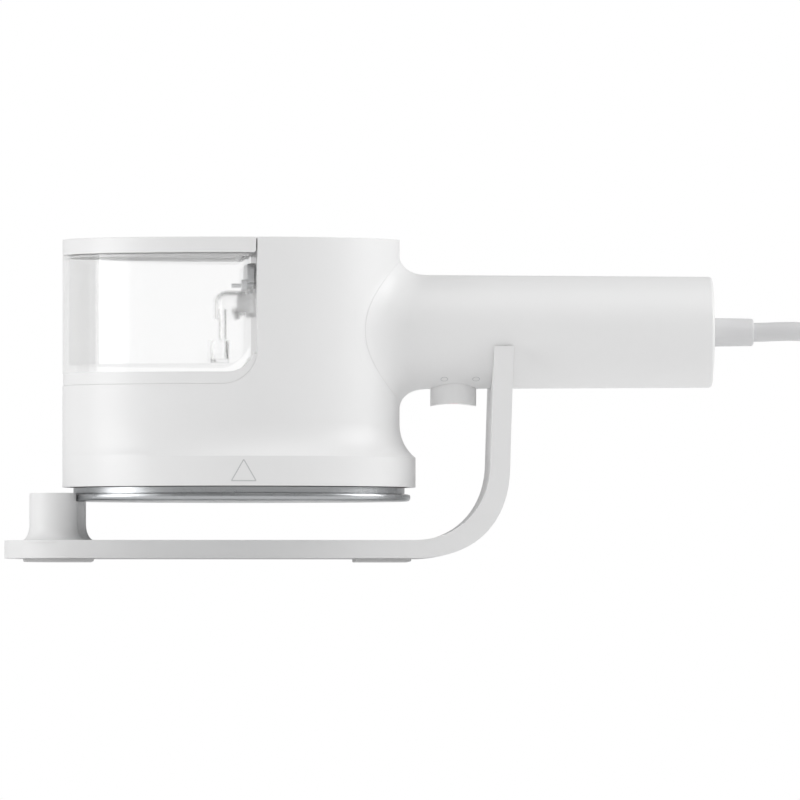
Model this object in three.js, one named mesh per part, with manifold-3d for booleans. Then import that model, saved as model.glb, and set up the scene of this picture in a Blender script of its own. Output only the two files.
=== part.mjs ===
// A corded garment steamer resting on its stand.
// Millimetres, +Z up, +X along the handle towards the cord. The origin is on the floor, under the middle of the
// steamer and stand together.
import * as THREE from 'three';
import { mergeVertices } from 'three/addons/utils/BufferGeometryUtils.js';
import Module from 'manifold-3d';

const wasm = await Module();
wasm.setup();

// ---- Driving dimensions ----
const LENGTH = 299.7; // stand's round end to the tip of the strain relief
const GAP = 0.3; // clearance left between neighbouring pieces

// Steam head: stacked ovals that all touch one vertical line at their left end.
const HEAD_LEFT = -126.7;
const BODY = { a: 67.4, b: 45 }; // half length and half depth of the upright body
const SKIRT = { a: 70.6, b: 50 }; // the same for the skirt around the steam plate
const HEAD_TOP = 128.7;
const FLARE_TOP = 55;
const SKIRT_TOP = 41.6;
const SKIRT_BOTTOM = 29.8;
const WALL = 2.5;

// Steam plate, centred under the skirt.
const PLATE_CENTRE = HEAD_LEFT + SKIRT.a;
const LIP = { a: 68.5, b: 48 };
const LIP_BOTTOM = 24.2;

// Tank and the bay that it plugs into.
const BAY_RIGHT = -50.1;
const BAY_FLOOR = 70.3;
const BAY_RADIUS = 14;
const TANK_RIGHT = -50.6;
const TANK_BOTTOM = 75.2;
const TANK_RADIUS = 11.6;
const TANK_TOP = 122.2;
const PORT_HEIGHT = 103.4; // water outlet above the floor

// Handle: a tube with a slight draft that flares into the head.
const HANDLE_HEIGHT = 92;
const HANDLE_R0 = 22.8; // radius at the head
const HANDLE_R1 = 22.2; // radius at the cord end
const HANDLE_END = 133.2;
const HORN = { length: 12, radius: 31.5, power: 2.35 }; // the flare's run, its radius at the head, its squareness

// Steam button under the handle.
const BUTTON_X = 29.6;
const BUTTON_R = 9.2;
const BUTTON_BOTTOM = 62.3;
const BUTTON_TRAVEL = 3;

// Stand: a strip bent into a J.
const STAND_WIDTH = 52;
const FOOT_STANDOUT = 1.3;
const BASE_TOP = 8.5;
const ARM_TOP = 85.8;
const POST_X = -130.3;
const POST_TOP = 27.3;
const LEDGE_TOP = 24;

// Mains cord: 1.78 m long, its spare length in a coil on the floor.
const CORD_R = 3.8;
const COIL = { x: 292, mid: 38.5, pitch: 7.6, layers: 4, bottom: 1.4 };

// ---- Materials ----
const plastic = (color, roughness = 0.4) => new THREE.MeshStandardMaterial({ color, roughness, metalness: 0 });
const metal = (color, roughness = 0.35) => new THREE.MeshStandardMaterial({ color, roughness, metalness: 1 });
const whiteAbs = plastic('#eceae6');
const standAbs = plastic('#dcdbd8', 0.45);
const cableGrey = plastic('#c9c9c8', 0.5);
const rubberGrey = plastic('#8d8f91', 0.8);
const siliconeGrey = plastic('#5b5e61', 0.7);
const siliconeRed = plastic('#b5432f', 0.7);
const heatResin = plastic('#3a3b3d', 0.6);
const clearPlastic = new THREE.MeshStandardMaterial({
  color: '#eef2f3', roughness: 0.08, metalness: 0, transparent: true, opacity: 0.35,
});
const steel = metal('#a7a9ab');
const aluminium = metal('#b9bbbd', 0.5);
const brass = metal('#c9a557');
const boardGreen = plastic('#2f6b45', 0.5);
const blackResin = plastic('#222326', 0.5);

// ---- Solids ----
const steamer = new THREE.Group();
const v2 = (x, y) => new THREE.Vector2(x, y);
const v3 = (x, y, z) => new THREE.Vector3(x, y, z);
const ramp = (count, f) => Array.from({ length: count + 1 }, (_, i) => f(i / count));

/** A closed BufferGeometry as a Manifold whose faces point out. */
function solid(geometry) {
  const bare = geometry.clone();
  bare.deleteAttribute('normal');
  bare.deleteAttribute('uv');
  const merged = mergeVertices(bare, 1e-3);
  const corner = Array.from({ length: merged.attributes.position.count }, (_, i) =>
    new THREE.Vector3().fromBufferAttribute(merged.attributes.position, i));
  const triangles = [];
  let volume = 0;
  for (let i = 0; i < merged.index.count; i += 3) {
    const [a, b, c] = [0, 1, 2].map((k) => merged.index.getX(i + k));
    if (a === b || b === c || c === a) continue;
    triangles.push([a, b, c]);
    volume += corner[a].dot(corner[b].clone().cross(corner[c]));
  }
  if (volume < 0) triangles.forEach((t) => t.reverse());
  return new wasm.Manifold(new wasm.Mesh({
    numProp: 3,
    vertProperties: new Float32Array(corner.flatMap((p) => p.toArray())),
    triVerts: new Uint32Array(triangles.flat()),
  }));
}

/** Adds a named piece to the object. */
function piece(name, shape, material) {
  const { vertProperties, triVerts } = shape.getMesh();
  const geometry = new THREE.BufferGeometry();
  geometry.setAttribute('position', new THREE.BufferAttribute(vertProperties, 3));
  geometry.setIndex(new THREE.BufferAttribute(triVerts, 1));
  geometry.computeVertexNormals();
  const mesh = new THREE.Mesh(geometry, material);
  mesh.name = name;
  steamer.add(mesh);
}

const join = (first, ...rest) => rest.reduce((sum, next) => sum.add(next), first);
const cut = (first, ...rest) => rest.reduce((sum, next) => sum.subtract(next), first);

/** A box between two corners. */
function box(x0, x1, y0, y1, z0, z1) {
  const geometry = new THREE.BoxGeometry(x1 - x0, y1 - y0, z1 - z0);
  return solid(geometry.translate((x0 + x1) / 2, (y0 + y1) / 2, (z0 + z1) / 2));
}

/** A cylinder between two points, or a cone when its ends differ. */
function rod(from, to, r0, r1 = r0, sides = 12) {
  const along = to.clone().sub(from);
  const geometry = new THREE.CylinderGeometry(r1, r0, along.length(), sides);
  geometry.applyQuaternion(new THREE.Quaternion().setFromUnitVectors(v3(0, 1, 0), along.clone().normalize()));
  return solid(geometry.translate(...from.clone().addScaledVector(along, 0.5).toArray()));
}

/** A ring or washer: a rod with a bore. */
const sleeve = (from, to, outer, inner, sides = 14) => {
  const over = to.clone().sub(from).normalize();
  return cut(rod(from, to, outer, outer, sides), rod(from.clone().sub(over), to.clone().add(over), inner, inner, sides));
};

/** An outline in the XZ plane, given depth from y0 to y1. */
function slab(outline, y0, y1) {
  const geometry = new THREE.ExtrudeGeometry(new THREE.Shape(outline), { depth: y1 - y0, bevelEnabled: false });
  return solid(geometry.rotateX(Math.PI / 2).translate(0, y1, 0));
}

/** An outline in the XY plane, given height from z0 to z1. */
function plate(outline, z0, z1) {
  const geometry = new THREE.ExtrudeGeometry(new THREE.Shape(outline), { depth: z1 - z0, bevelEnabled: false });
  return solid(geometry.translate(0, 0, z0));
}

/** A section swept along a curve. */
function sweep(section, curve, steps) {
  const shape = section instanceof THREE.Shape ? section : new THREE.Shape(section);
  return solid(new THREE.ExtrudeGeometry(shape, { steps, extrudePath: curve, bevelEnabled: false }));
}
const circle = (r, sides = 8) => ramp(sides, (t) => v2(r * Math.cos(2 * Math.PI * t), r * Math.sin(2 * Math.PI * t)))
  .slice(0, -1);
const through = (...points) => new THREE.CatmullRomCurve3(points.map((p) => v3(...p)), false, 'centripetal');

/**
 * A turned shape about Z whose rows are ovals. Each row has a half length a, a half depth b, a centre cx and a
 * height z. Rows run up the outside; the first and last have a = 0, or the list closes on itself.
 */
function oval(rows, sides = 40) {
  const geometry = new THREE.LatheGeometry(rows.map((row) => v2(row.a, row.z)), sides).rotateX(Math.PI / 2);
  const place = geometry.attributes.position;
  for (let i = 0; i < place.count; i += 1) {
    const row = rows[i % rows.length];
    place.setX(i, place.getX(i) + row.cx);
    place.setY(i, row.a ? place.getY(i) * (row.b / row.a) : 0);
  }
  return solid(geometry);
}

/** Closes a stack of ovals at the bottom and the top. */
const capped = (rows, sides) => {
  const [low, high] = [rows[0], rows.at(-1)];
  return oval([{ ...low, a: 0 }, ...rows, { ...high, a: 0 }], sides);
};

// An oval of the head, inset by `inset`, that keeps the shared left end.
const headRow = ({ a, b }, z, inset = 0) => ({ a: a - inset, b: b - inset, cx: HEAD_LEFT + a, z });
// An oval of the steam plate and boiler, centred under the skirt.
const plateRow = ({ a, b }, z, inset = 0) => ({ a: a - inset, b: b - inset, cx: PLATE_CENTRE, z });

/** Oval of the head at height z: skirt, concave flare or upright body. */
function headOval(z) {
  const t = THREE.MathUtils.clamp((FLARE_TOP - z) / (FLARE_TOP - SKIRT_TOP), 0, 1);
  const flare = 1 - Math.sqrt(1 - (0.8 * t) ** 2);
  const share = flare / (1 - Math.sqrt(1 - 0.8 ** 2));
  return { a: BODY.a + (SKIRT.a - BODY.a) * share, b: BODY.b + (SKIRT.b - BODY.b) * share };
}

/** The head's outer form, inset evenly, from z0 to z1. */
function headForm(z0, z1, inset = 0) {
  const heights = [z0, SKIRT_TOP, ...ramp(4, (t) => SKIRT_TOP + (FLARE_TOP - SKIRT_TOP) * t), z1];
  const kept = [...new Set(heights)].filter((z) => z >= z0 && z <= z1);
  return capped(kept.map((z) => headRow(headOval(z), z, inset)));
}

/** X of the upright body's surface on the handle side, at depth y. */
const bodySurface = (y) => HEAD_LEFT + BODY.a + BODY.a * Math.sqrt(1 - (y / BODY.b) ** 2);

/** Everything left of x and above z, with a round inner corner. */
function corner(x, z, radius, y = 60) {
  const far = 200;
  const arc = ramp(6, (t) => v2(x - radius + radius * Math.sin(t * Math.PI / 2),
    z + radius - radius * Math.cos(t * Math.PI / 2)));
  return slab([v2(-far, z), ...arc, v2(x, far), v2(-far, far)], -y, y);
}

// ---- Stand ----
// Superellipse quarter from the flat base up to the arm.
function bend(centre, ax, az, power, steps = 9) {
  return ramp(steps, (t) => {
    const turn = t * Math.PI / 2;
    return v2(centre.x + ax * Math.sin(turn) ** (2 / power), centre.y - az * Math.cos(turn) ** (2 / power));
  });
}

function makeStand() {
  const left = -LENGTH / 2;
  const half = STAND_WIDTH / 2;
  const bendStart = v2(12, 41);
  const lean = 1.4;
  const outer = bend(bendStart, 39.3, bendStart.y - FOOT_STANDOUT, 2.4);
  const inner = bend(bendStart, 31.5, bendStart.y - BASE_TOP, 2.2).reverse();
  const strip = slab([
    v2(left, FOOT_STANDOUT), ...outer, v2(outer.at(-1).x + lean, ARM_TOP), v2(inner[0].x + lean, ARM_TOP),
    ...inner, v2(left, BASE_TOP),
  ], -half, half);
  const roundEnd = ramp(16, (t) => v2(left + half - half * Math.sin(t * Math.PI), -half * Math.cos(t * Math.PI)));
  const plan = plate([...roundEnd, v2(80, half), v2(80, -half)], -1, 100);

  // Rest post: two round lobes with a waist between them, and a ledge that carries the tip of the steam plate.
  const lobe = { r: 9.4, y: 12.5, flare: 3.6, rise: 6.5 };
  const ledge = { half: 9, right: -117.4 };
  const root = BASE_TOP - 1;
  const foot = [0, 0.4, 0.7, 1].map((t) => v2(lobe.r + lobe.flare * (1 - Math.sin(t * Math.PI / 2)),
    BASE_TOP + lobe.rise * (1 - Math.cos(t * Math.PI / 2))));
  const side = [v2(lobe.r + lobe.flare, root), ...foot, v2(lobe.r, POST_TOP)];
  const turned = new THREE.LatheGeometry([v2(0, root), ...side, v2(0, POST_TOP)], 20).rotateX(Math.PI / 2);
  const lobes = [-1, 1].map((s) => solid(turned.clone().translate(POST_X, s * lobe.y, 0)));
  const waist = slab([...side.map((p) => v2(POST_X + p.x, p.y)), ...side.toReversed().map((p) => v2(POST_X - p.x, p.y))],
    -lobe.y, lobe.y);
  const tongue = box(POST_X, ledge.right, -ledge.half, ledge.half, root, LEDGE_TOP);
  const notch = capped([LEDGE_TOP, POST_TOP + 1].map((z) => plateRow(LIP, z, -0.6)));
  const post = cut(join(waist, ...lobes, tongue), notch);

  const cradle = rod(v3(30, 0, HANDLE_HEIGHT), v3(70, 0, HANDLE_HEIGHT), HANDLE_R0 + 0.25, HANDLE_R0 + 0.25, 40);
  const frame = cut(join(strip.intersect(plan), post), cradle);

  // Rubber feet let into pockets under the base.
  const pocket = 1.5;
  const padOutline = ramp(12, (t) => v2(left + half - 18.5 * Math.sin(t * Math.PI), -18.5 * Math.cos(t * Math.PI)));
  const feet = {
    foot_left: [...padOutline, v2(-114.5, 18.5), v2(-114.5, -18.5)],
    foot_right: [v2(-10.1, -20), v2(12, -20), v2(12, 20), v2(-10.1, 20)],
  };
  let standFrame = frame;
  for (const [name, outline] of Object.entries(feet)) {
    const centre = outline.reduce((sum, p) => sum.add(p), v2(0, 0)).divideScalar(outline.length);
    const wider = outline.map((p) => p.clone().add(p.clone().sub(centre).normalize().multiplyScalar(GAP * 1.5)));
    standFrame = standFrame.subtract(plate(wider, FOOT_STANDOUT - 1, FOOT_STANDOUT + pocket));
    piece(name, plate(outline, 0, FOOT_STANDOUT + pocket - GAP), rubberGrey);
  }
  piece('stand_frame', standFrame, standAbs);
}

// ---- Steam plate and boiler ----
const BOILER = { a: 60, b: 39, bottom: 29.8, top: 44, sides: 28 };
const SCREW_SPOTS = [[-1, -1], [1, -1], [-1, 1], [1, 1]].map(([sx, sy]) => v2(PLATE_CENTRE + sx * 36.4, sy * 23.5));
const STEAM_HOLES = 12;
const HEATER_END = v2(-18, 12.5); // where the heater's ends turn up; the other end mirrors it in Y
const INLET = v2(-14, 0);

function makeSteamPlate() {
  const lip = [plateRow(LIP, LIP_BOTTOM, 1.2), plateRow(LIP, LIP_BOTTOM + 0.8), plateRow(LIP, 26.6),
    plateRow(LIP, 26.9, 0.8), plateRow(LIP, 26.9, 3.4), plateRow(LIP, 27.3, 3.4), plateRow(LIP, 27.3, 2.3),
    plateRow(LIP, SKIRT_BOTTOM - GAP, 2.3)];
  const chamber = capped([26.6, 31].map((z) => plateRow({ a: 56, b: 36 }, z)), 20);
  const holes = ramp(STEAM_HOLES - 1, (t) => {
    const turn = (t * (STEAM_HOLES - 1) + 0.5) * 2 * Math.PI / STEAM_HOLES;
    const [x, y] = [PLATE_CENTRE + 44 * Math.cos(turn), 27 * Math.sin(turn)];
    return rod(v3(x, y, LIP_BOTTOM - 1), v3(x, y, 28), 1.6, 1.6, 6);
  });
  piece('steam_plate', cut(capped(lip, 36), chamber, ...holes), steel);
}

function makeBoiler() {
  const form = capped([BOILER.bottom, BOILER.top].map((z) => plateRow(BOILER, z)), BOILER.sides);
  const chamber = capped([BOILER.bottom - 1, 33.5].map((z) => plateRow(BOILER, z, 5)), 20);
  const heaterPath = { a: 44, b: 25, z: 41 };
  const slot = 3.7;
  const ring = [37.4, BOILER.top + 1].flatMap((z, i) => {
    const edges = [plateRow(heaterPath, z, -slot), plateRow(heaterPath, z, slot)];
    return i ? edges.reverse() : edges;
  });
  const groove = oval([...ring.toReversed(), ring.at(-1)], BOILER.sides);
  const access = SCREW_SPOTS.map((p) => rod(v3(p.x, p.y, 20), v3(p.x, p.y, 38), 3.2));
  const bores = SCREW_SPOTS.map((p) => rod(v3(p.x, p.y, 30), v3(p.x, p.y, 50), 1.9));
  const feed = rod(v3(INLET.x, 0, 25), v3(INLET.x, 0, 50), 1.6);
  const terminals = [-1, 1].map((s) => rod(v3(HEATER_END.x, s * HEATER_END.y, 37), v3(HEATER_END.x, s * HEATER_END.y,
    50), 4.6));
  piece('boiler_casting', cut(form, chamber, groove, feed, ...access, ...bores, ...terminals), aluminium);

  const lid = capped([BOILER.top + GAP, 46.2].map((z) => plateRow(BOILER, z, 1.5)), BOILER.sides);
  piece('boiler_cover', cut(lid, feed, ...bores, ...terminals), aluminium);

  // Tubular heater: an oval loop in the groove, open towards the handle, with both ends turned up.
  const loop = ramp(12, (t) => {
    const turn = THREE.MathUtils.degToRad(40 + 280 * t);
    return [PLATE_CENTRE + heaterPath.a * Math.cos(turn), heaterPath.b * Math.sin(turn), heaterPath.z];
  });
  const ends = [56, 46, 42.4].map((z) => [HEATER_END.x, HEATER_END.y, z]);
  const heater = through(...ends, ...loop, ...ends.toReversed().map(([x, y, z]) => [x, -y, z]));
  piece('heater_element', sweep(circle(3.1, 6), heater, 40), steel);

  const nipple = join(rod(v3(INLET.x, 0, 46.5), v3(INLET.x, 0, 48.5), 4.5), rod(v3(INLET.x, 0, 48), v3(INLET.x, 0, 53), 2));
  piece('boiler_inlet', cut(nipple, rod(v3(INLET.x, 0, 45), v3(INLET.x, 0, 57), 1.2, 1.2, 8)), brass);

  piece('thermostat', join(rod(v3(-72, 0, 46.5), v3(-72, 0, 51.5), 8), rod(v3(-72, 0, 51), v3(-72, 0, 53), 5),
    box(-78, -76, -1, 1, 51, 57), box(-68, -66, -1, 1, 51, 57)), blackResin);
  piece('thermal_fuse', join(rod(v3(-46, -6, 48.4), v3(-46, 6, 48.4), 1.8, 1.8, 12), rod(v3(-46, -10, 48.4),
    v3(-46, 10, 48.4), 0.6, 0.6, 8)), brass);
  SCREW_SPOTS.forEach((p, i) => {
    const shaft = rod(v3(p.x, p.y, 36), v3(p.x, p.y, 57), 1.5, 1.5, 8);
    piece(`boiler_screw_${i + 1}`, join(rod(v3(p.x, p.y, 34.6), v3(p.x, p.y, 37.6), 2.8, 2.8, 8), shaft), steel);
  });

  const seal = [[31, 3.4], [34, 3.4], [34, 6.2], [31, 6.2], [31, 3.4]].map(([z, inset]) => plateRow(SKIRT, z, inset));
  piece('heat_seal', oval(seal, 32), siliconeRed);
}

// ---- Head ----
const SHELF = { bottom: 78, top: 80 };
const SPIGOT_R = 3.6;
const bossBottom = 46.2 + 0.4;

function makeHead() {
  const outer = headForm(SKIRT_BOTTOM, HEAD_TOP);
  const inner = headForm(SKIRT_BOTTOM - 5, HEAD_TOP - WALL, WALL);
  const bay = corner(BAY_RIGHT, BAY_FLOOR, BAY_RADIUS);
  const bayWall = corner(BAY_RIGHT + WALL, BAY_FLOOR - WALL, BAY_RADIUS + WALL);
  const neck = rod(v3(-20, 0, HANDLE_HEIGHT), v3(20, 0, HANDLE_HEIGHT), 19.5, 19.5, 28);
  const port = rod(v3(BAY_RIGHT - 2, 0, PORT_HEIGHT), v3(BAY_RIGHT + 5, 0, PORT_HEIGHT), SPIGOT_R + GAP);
  const bosses = SCREW_SPOTS.filter((p) => p.x < PLATE_CENTRE).map((p) => rod(v3(p.x, p.y, bossBottom),
    v3(p.x, p.y, BAY_FLOOR - 1), 4));
  const bores = SCREW_SPOTS.map((p) => rod(v3(p.x, p.y, 40), v3(p.x, p.y, 60), 1.8));
  piece('head_housing', cut(join(cut(outer, bay, cut(inner, bayWall)), ...bosses), neck, port, ...bores), whiteAbs);

  // Tray under the tank: fills the space between the bay floor and the tank, and dies out up the wall.
  const space = corner(BAY_RIGHT - GAP, BAY_FLOOR + GAP, BAY_RADIUS - GAP)
    .subtract(corner(TANK_RIGHT + GAP, TANK_BOTTOM - GAP, TANK_RADIUS + GAP));
  const below = box(-200, 0, -60, 60, 60, TANK_BOTTOM + 7);
  piece('tank_cradle', space.intersect(headForm(60, 100, 0.2)).intersect(below), whiteAbs);

  // Shelf inside the head that carries the pump and holds the boiler down through two long bosses.
  const shelf = headForm(SHELF.bottom, SHELF.top, WALL + GAP).intersect(box(BAY_RIGHT + WALL + GAP, 5, -60, 60, 0, 100));
  const hanging = SCREW_SPOTS.filter((p) => p.x > PLATE_CENTRE).map((p) => rod(v3(p.x, p.y, bossBottom),
    v3(p.x, p.y, SHELF.top - 1), 4));
  const gaps = [rod(v3(-8, 0, 70), v3(-8, 0, 90), 4.5), rod(v3(-6, 15, 70), v3(-6, 15, 90), 2.4),
    rod(v3(-6, -15, 70), v3(-6, -15, 90), 2.4)];
  piece('chassis_plate', cut(join(shelf, ...hanging), ...gaps, ...bores), heatResin);
}

// ---- Water path ----
const PUMP = { left: -31, right: 1, r: 10.6 };

function makeWaterPath() {
  const at = (x, z = PORT_HEIGHT) => v3(x, 0, z);
  const flange = BAY_RIGHT + WALL + GAP; // the spigot's flange stands on the bay wall
  const spigot = join(rod(at(-57), at(flange + 0.1), SPIGOT_R), rod(at(flange), at(flange + 1.6), 6),
    rod(at(flange + 1.3), at(-41), 2.2));
  piece('inlet_spigot', cut(spigot, rod(at(-58), at(-40), 1.4)), heatResin);
  piece('inlet_hose', sleeve(at(flange + 1.9), at(PUMP.left - GAP), 4, 2.5), siliconeGrey);

  const body = join(rod(at(PUMP.left), at(PUMP.right), PUMP.r, PUMP.r, 24), rod(at(-36.5), at(-30), 2.2));
  const outlet = rod(v3(-8, 0, 86.5), v3(-8, 0, 96), 2);
  piece('pump', join(body, outlet), blackResin);
  const mount = join(rod(at(-22), at(-14), PUMP.r + 3.4, PUMP.r + 3.4, 24), box(-22, -14, -16, 16, SHELF.top + GAP, 92));
  piece('pump_mount', cut(mount, rod(at(-30), at(-10), PUMP.r + GAP, PUMP.r + GAP, 24)), rubberGrey);

  const wall = new THREE.Shape(circle(3.4));
  wall.holes.push(new THREE.Path(circle(2.4)));
  piece('feed_hose', sweep(wall, through([-8, 0, 91.5], [-8, 0, 80], [-9, 0, 68], [INLET.x, 0, 58], [INLET.x, 0, 53], [INLET.x, 0, 49]), 12),
    siliconeGrey);
}

// ---- Tank ----
function makeTank() {
  const profile = (inset, z0) => corner(TANK_RIGHT - inset, z0, TANK_RADIUS - inset);
  const outer = headForm(60, TANK_TOP).intersect(profile(0, TANK_BOTTOM));
  const floor = TANK_BOTTOM + WALL + 0.8;
  const inner = headForm(60, TANK_TOP + 5, WALL).intersect(profile(WALL, floor));
  const port = rod(v3(-60, 0, PORT_HEIGHT), v3(-40, 0, PORT_HEIGHT), 6);
  const fill = { half: 20, r: 4.4, z: 114.2 };
  const fillForm = (r, x0, x1) => join(box(x0, x1, -fill.half, fill.half, fill.z - r, fill.z + r),
    rod(v3(x0, fill.half, fill.z), v3(x1, fill.half, fill.z), r),
    rod(v3(x0, -fill.half, fill.z), v3(x1, -fill.half, fill.z), r));
  const gussets = [box(-71.3, -67.9, -0.6, 0.6, floor - 1, 84.8), box(-59.6, -56.9, -0.6, 0.6, floor - 1, 84.8)];
  const vent = (x) => v3(x, -31, 109.6);
  const ventHole = rod(vent(-54), vent(-50), 1.3, 1.3, 10);
  piece('water_tank', join(cut(outer, inner, port, ventHole, fillForm(fill.r + GAP, -60, -40)), ...gussets), clearPlastic);

  const lidTop = headForm(60, HEAD_TOP).intersect(corner(TANK_RIGHT, TANK_TOP + GAP, 1));
  // A ring that follows the tank's wall, between two heights and two insets from the outer form.
  const ring = (z0, z1, near, far, radius) => headForm(60, z1, near).intersect(corner(TANK_RIGHT - near, z0, radius))
    .subtract(headForm(60, z1 + 5, far).intersect(corner(TANK_RIGHT - far, z0 - 20, radius)));
  piece('tank_lid', join(lidTop, ring(TANK_TOP - 0.8, TANK_TOP + 1, WALL + 1.7, WALL + 3.7, 0.8)), whiteAbs);
  piece('lid_seal', ring(TANK_TOP - 0.9, TANK_TOP - 0.1, WALL + GAP, WALL + 1.4, 0.2), siliconeGrey);

  piece('fill_plug', join(fillForm(fill.r, TANK_RIGHT - WALL - 0.6, TANK_RIGHT - 0.2)), siliconeGrey);
  piece('vent_valve', join(rod(vent(-60.1), vent(-56), 0.8, 0.8, 10), rod(vent(-56.2), vent(-53.8), 2.4, 2.4, 12),
    rod(vent(-54), vent(-51.4), 1, 1, 10)), siliconeGrey);
  piece('outlet_seal', sleeve(v3(-53.4, 0, PORT_HEIGHT), v3(TANK_RIGHT - 0.1, 0, PORT_HEIGHT), 5.7, SPIGOT_R + GAP, 14),
    siliconeGrey);

  const turn = v3(-60.8, 0, PORT_HEIGHT);
  const elbow = join(rod(v3(-60.8, 0, 97), turn, 5), rod(turn, v3(-53.8, 0, PORT_HEIGHT), 5),
    solid(new THREE.SphereGeometry(5, 12, 8).rotateX(Math.PI / 2).translate(...turn.toArray())));
  piece('suction_elbow', cut(elbow, rod(v3(-58.5, 0, PORT_HEIGHT), v3(-50, 0, PORT_HEIGHT), SPIGOT_R + GAP),
    rod(v3(-63, 0, PORT_HEIGHT), v3(-58, 0, PORT_HEIGHT), 1.4), rod(v3(-62.6, 0, 90), v3(-62.6, 0, 103), 1.9)), whiteAbs);
  piece('intake_tube', sleeve(v3(-62.6, 0, 88.8), v3(-62.6, 0, 101), 1.6, 0.9, 10), clearPlastic);
  piece('intake_filter', rod(v3(-63.8, 0, floor + 0.8), v3(-63.8, 0, 88.4), 3.7), siliconeGrey);
}

// ---- Handle ----
const HANDLE_WALL = 2.4;
const END_WALL = 2.4;
const LEAD_HOLE = 4.5;
const handleRadius = (x) => HANDLE_R0 + (HANDLE_R1 - HANDLE_R0) * (x - 24) / (HANDLE_END - 24);
const HANDLE_SCREWS = [v2(60, 106), v2(88, 76.5), v2(119, 105)];

/**
 * A turned shape about the handle's axis. A row has a radius r and either an x, or an offset d from the head's
 * oval surface, which makes the row follow that surface.
 */
function turned(rows, sides = 32) {
  const geometry = new THREE.LatheGeometry(rows.map((row) => v2(row.r, row.x ?? 0)), sides).rotateZ(-Math.PI / 2);
  const place = geometry.attributes.position;
  for (let i = 0; i < place.count; i += 1) {
    const row = rows[i % rows.length];
    if (row.d !== undefined) place.setX(i, bodySurface(place.getZ(i)) + row.d);
  }
  return solid(geometry.rotateX(Math.PI / 2).translate(0, 0, HANDLE_HEIGHT));
}

function makeHandle() {
  const horn = ramp(5, (t) => ({
    d: HORN.length * (1 - Math.cos(t * Math.PI / 2) ** (2 / HORN.power)),
    r: HORN.radius - (HORN.radius - HANDLE_R0) * Math.sin(t * Math.PI / 2) ** (2 / HORN.power),
  }));
  horn.unshift({ d: -2, r: HORN.radius });
  const tube = [{ x: 25, r: handleRadius(25) }, { x: HANDLE_END - 1.2, r: handleRadius(HANDLE_END) },
    { x: HANDLE_END, r: HANDLE_R1 - 1.2 }];
  const bore = [{ x: HANDLE_END, r: LEAD_HOLE }, { x: HANDLE_END - END_WALL, r: LEAD_HOLE },
    { x: HANDLE_END - END_WALL, r: HANDLE_R1 - HANDLE_WALL }, { x: 25, r: handleRadius(25) - HANDLE_WALL },
    { d: -2, r: handleRadius(25) - HANDLE_WALL }];
  const shell = turned([...horn, ...tube, ...bore, horn[0]]);
  const filled = turned([{ d: -2, r: 0 }, ...horn, ...tube, { x: HANDLE_END, r: 0 }]);
  const across = (p, y0, y1, r) => rod(v3(p.x, y0, p.y), v3(p.x, y1, p.y), r, r, 10);
  const bosses = HANDLE_SCREWS.map((p) => across(p, -30, 30, 3.4).intersect(filled));
  const button = rod(v3(BUTTON_X, 0, 50), v3(BUTTON_X, 0, 82), BUTTON_R + GAP, BUTTON_R + GAP, 24);
  const whole = cut(join(shell, ...bosses), button, headForm(SKIRT_BOTTOM, HEAD_TOP + 5, -GAP));

  const front = box(-60, 200, -60, -GAP / 2, 0, 200);
  const back = box(-60, 200, GAP / 2, 60, 0, 200);
  piece('handle_front', cut(whole.intersect(front), ...HANDLE_SCREWS.map((p) => across(p, -10, 5, 1.8))), whiteAbs);
  piece('handle_back', cut(whole.intersect(back), ...HANDLE_SCREWS.map((p) => across(p, -5, 40, 1.8)),
    ...HANDLE_SCREWS.map((p) => across(p, 8, 40, 3.1))), whiteAbs);
  HANDLE_SCREWS.forEach((p, i) => piece(`handle_screw_${i + 1}`,
    join(across(p, 8.4, 10.8, 2.7), across(p, -9, 9, 1.5)), steel));

  const at = (x) => v3(x, 0, HANDLE_HEIGHT);
  const flange = { right: HANDLE_END - END_WALL - 0.4, thick: 2.7 };
  piece('strain_relief', join(rod(at(HANDLE_END + GAP), at(LENGTH / 2), 5.6, 5.6, 16),
    rod(at(flange.right - 0.3), at(HANDLE_END + 0.9), 4.1), rod(at(flange.right - flange.thick), at(flange.right), 7.4)),
    cableGrey);
}

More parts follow.
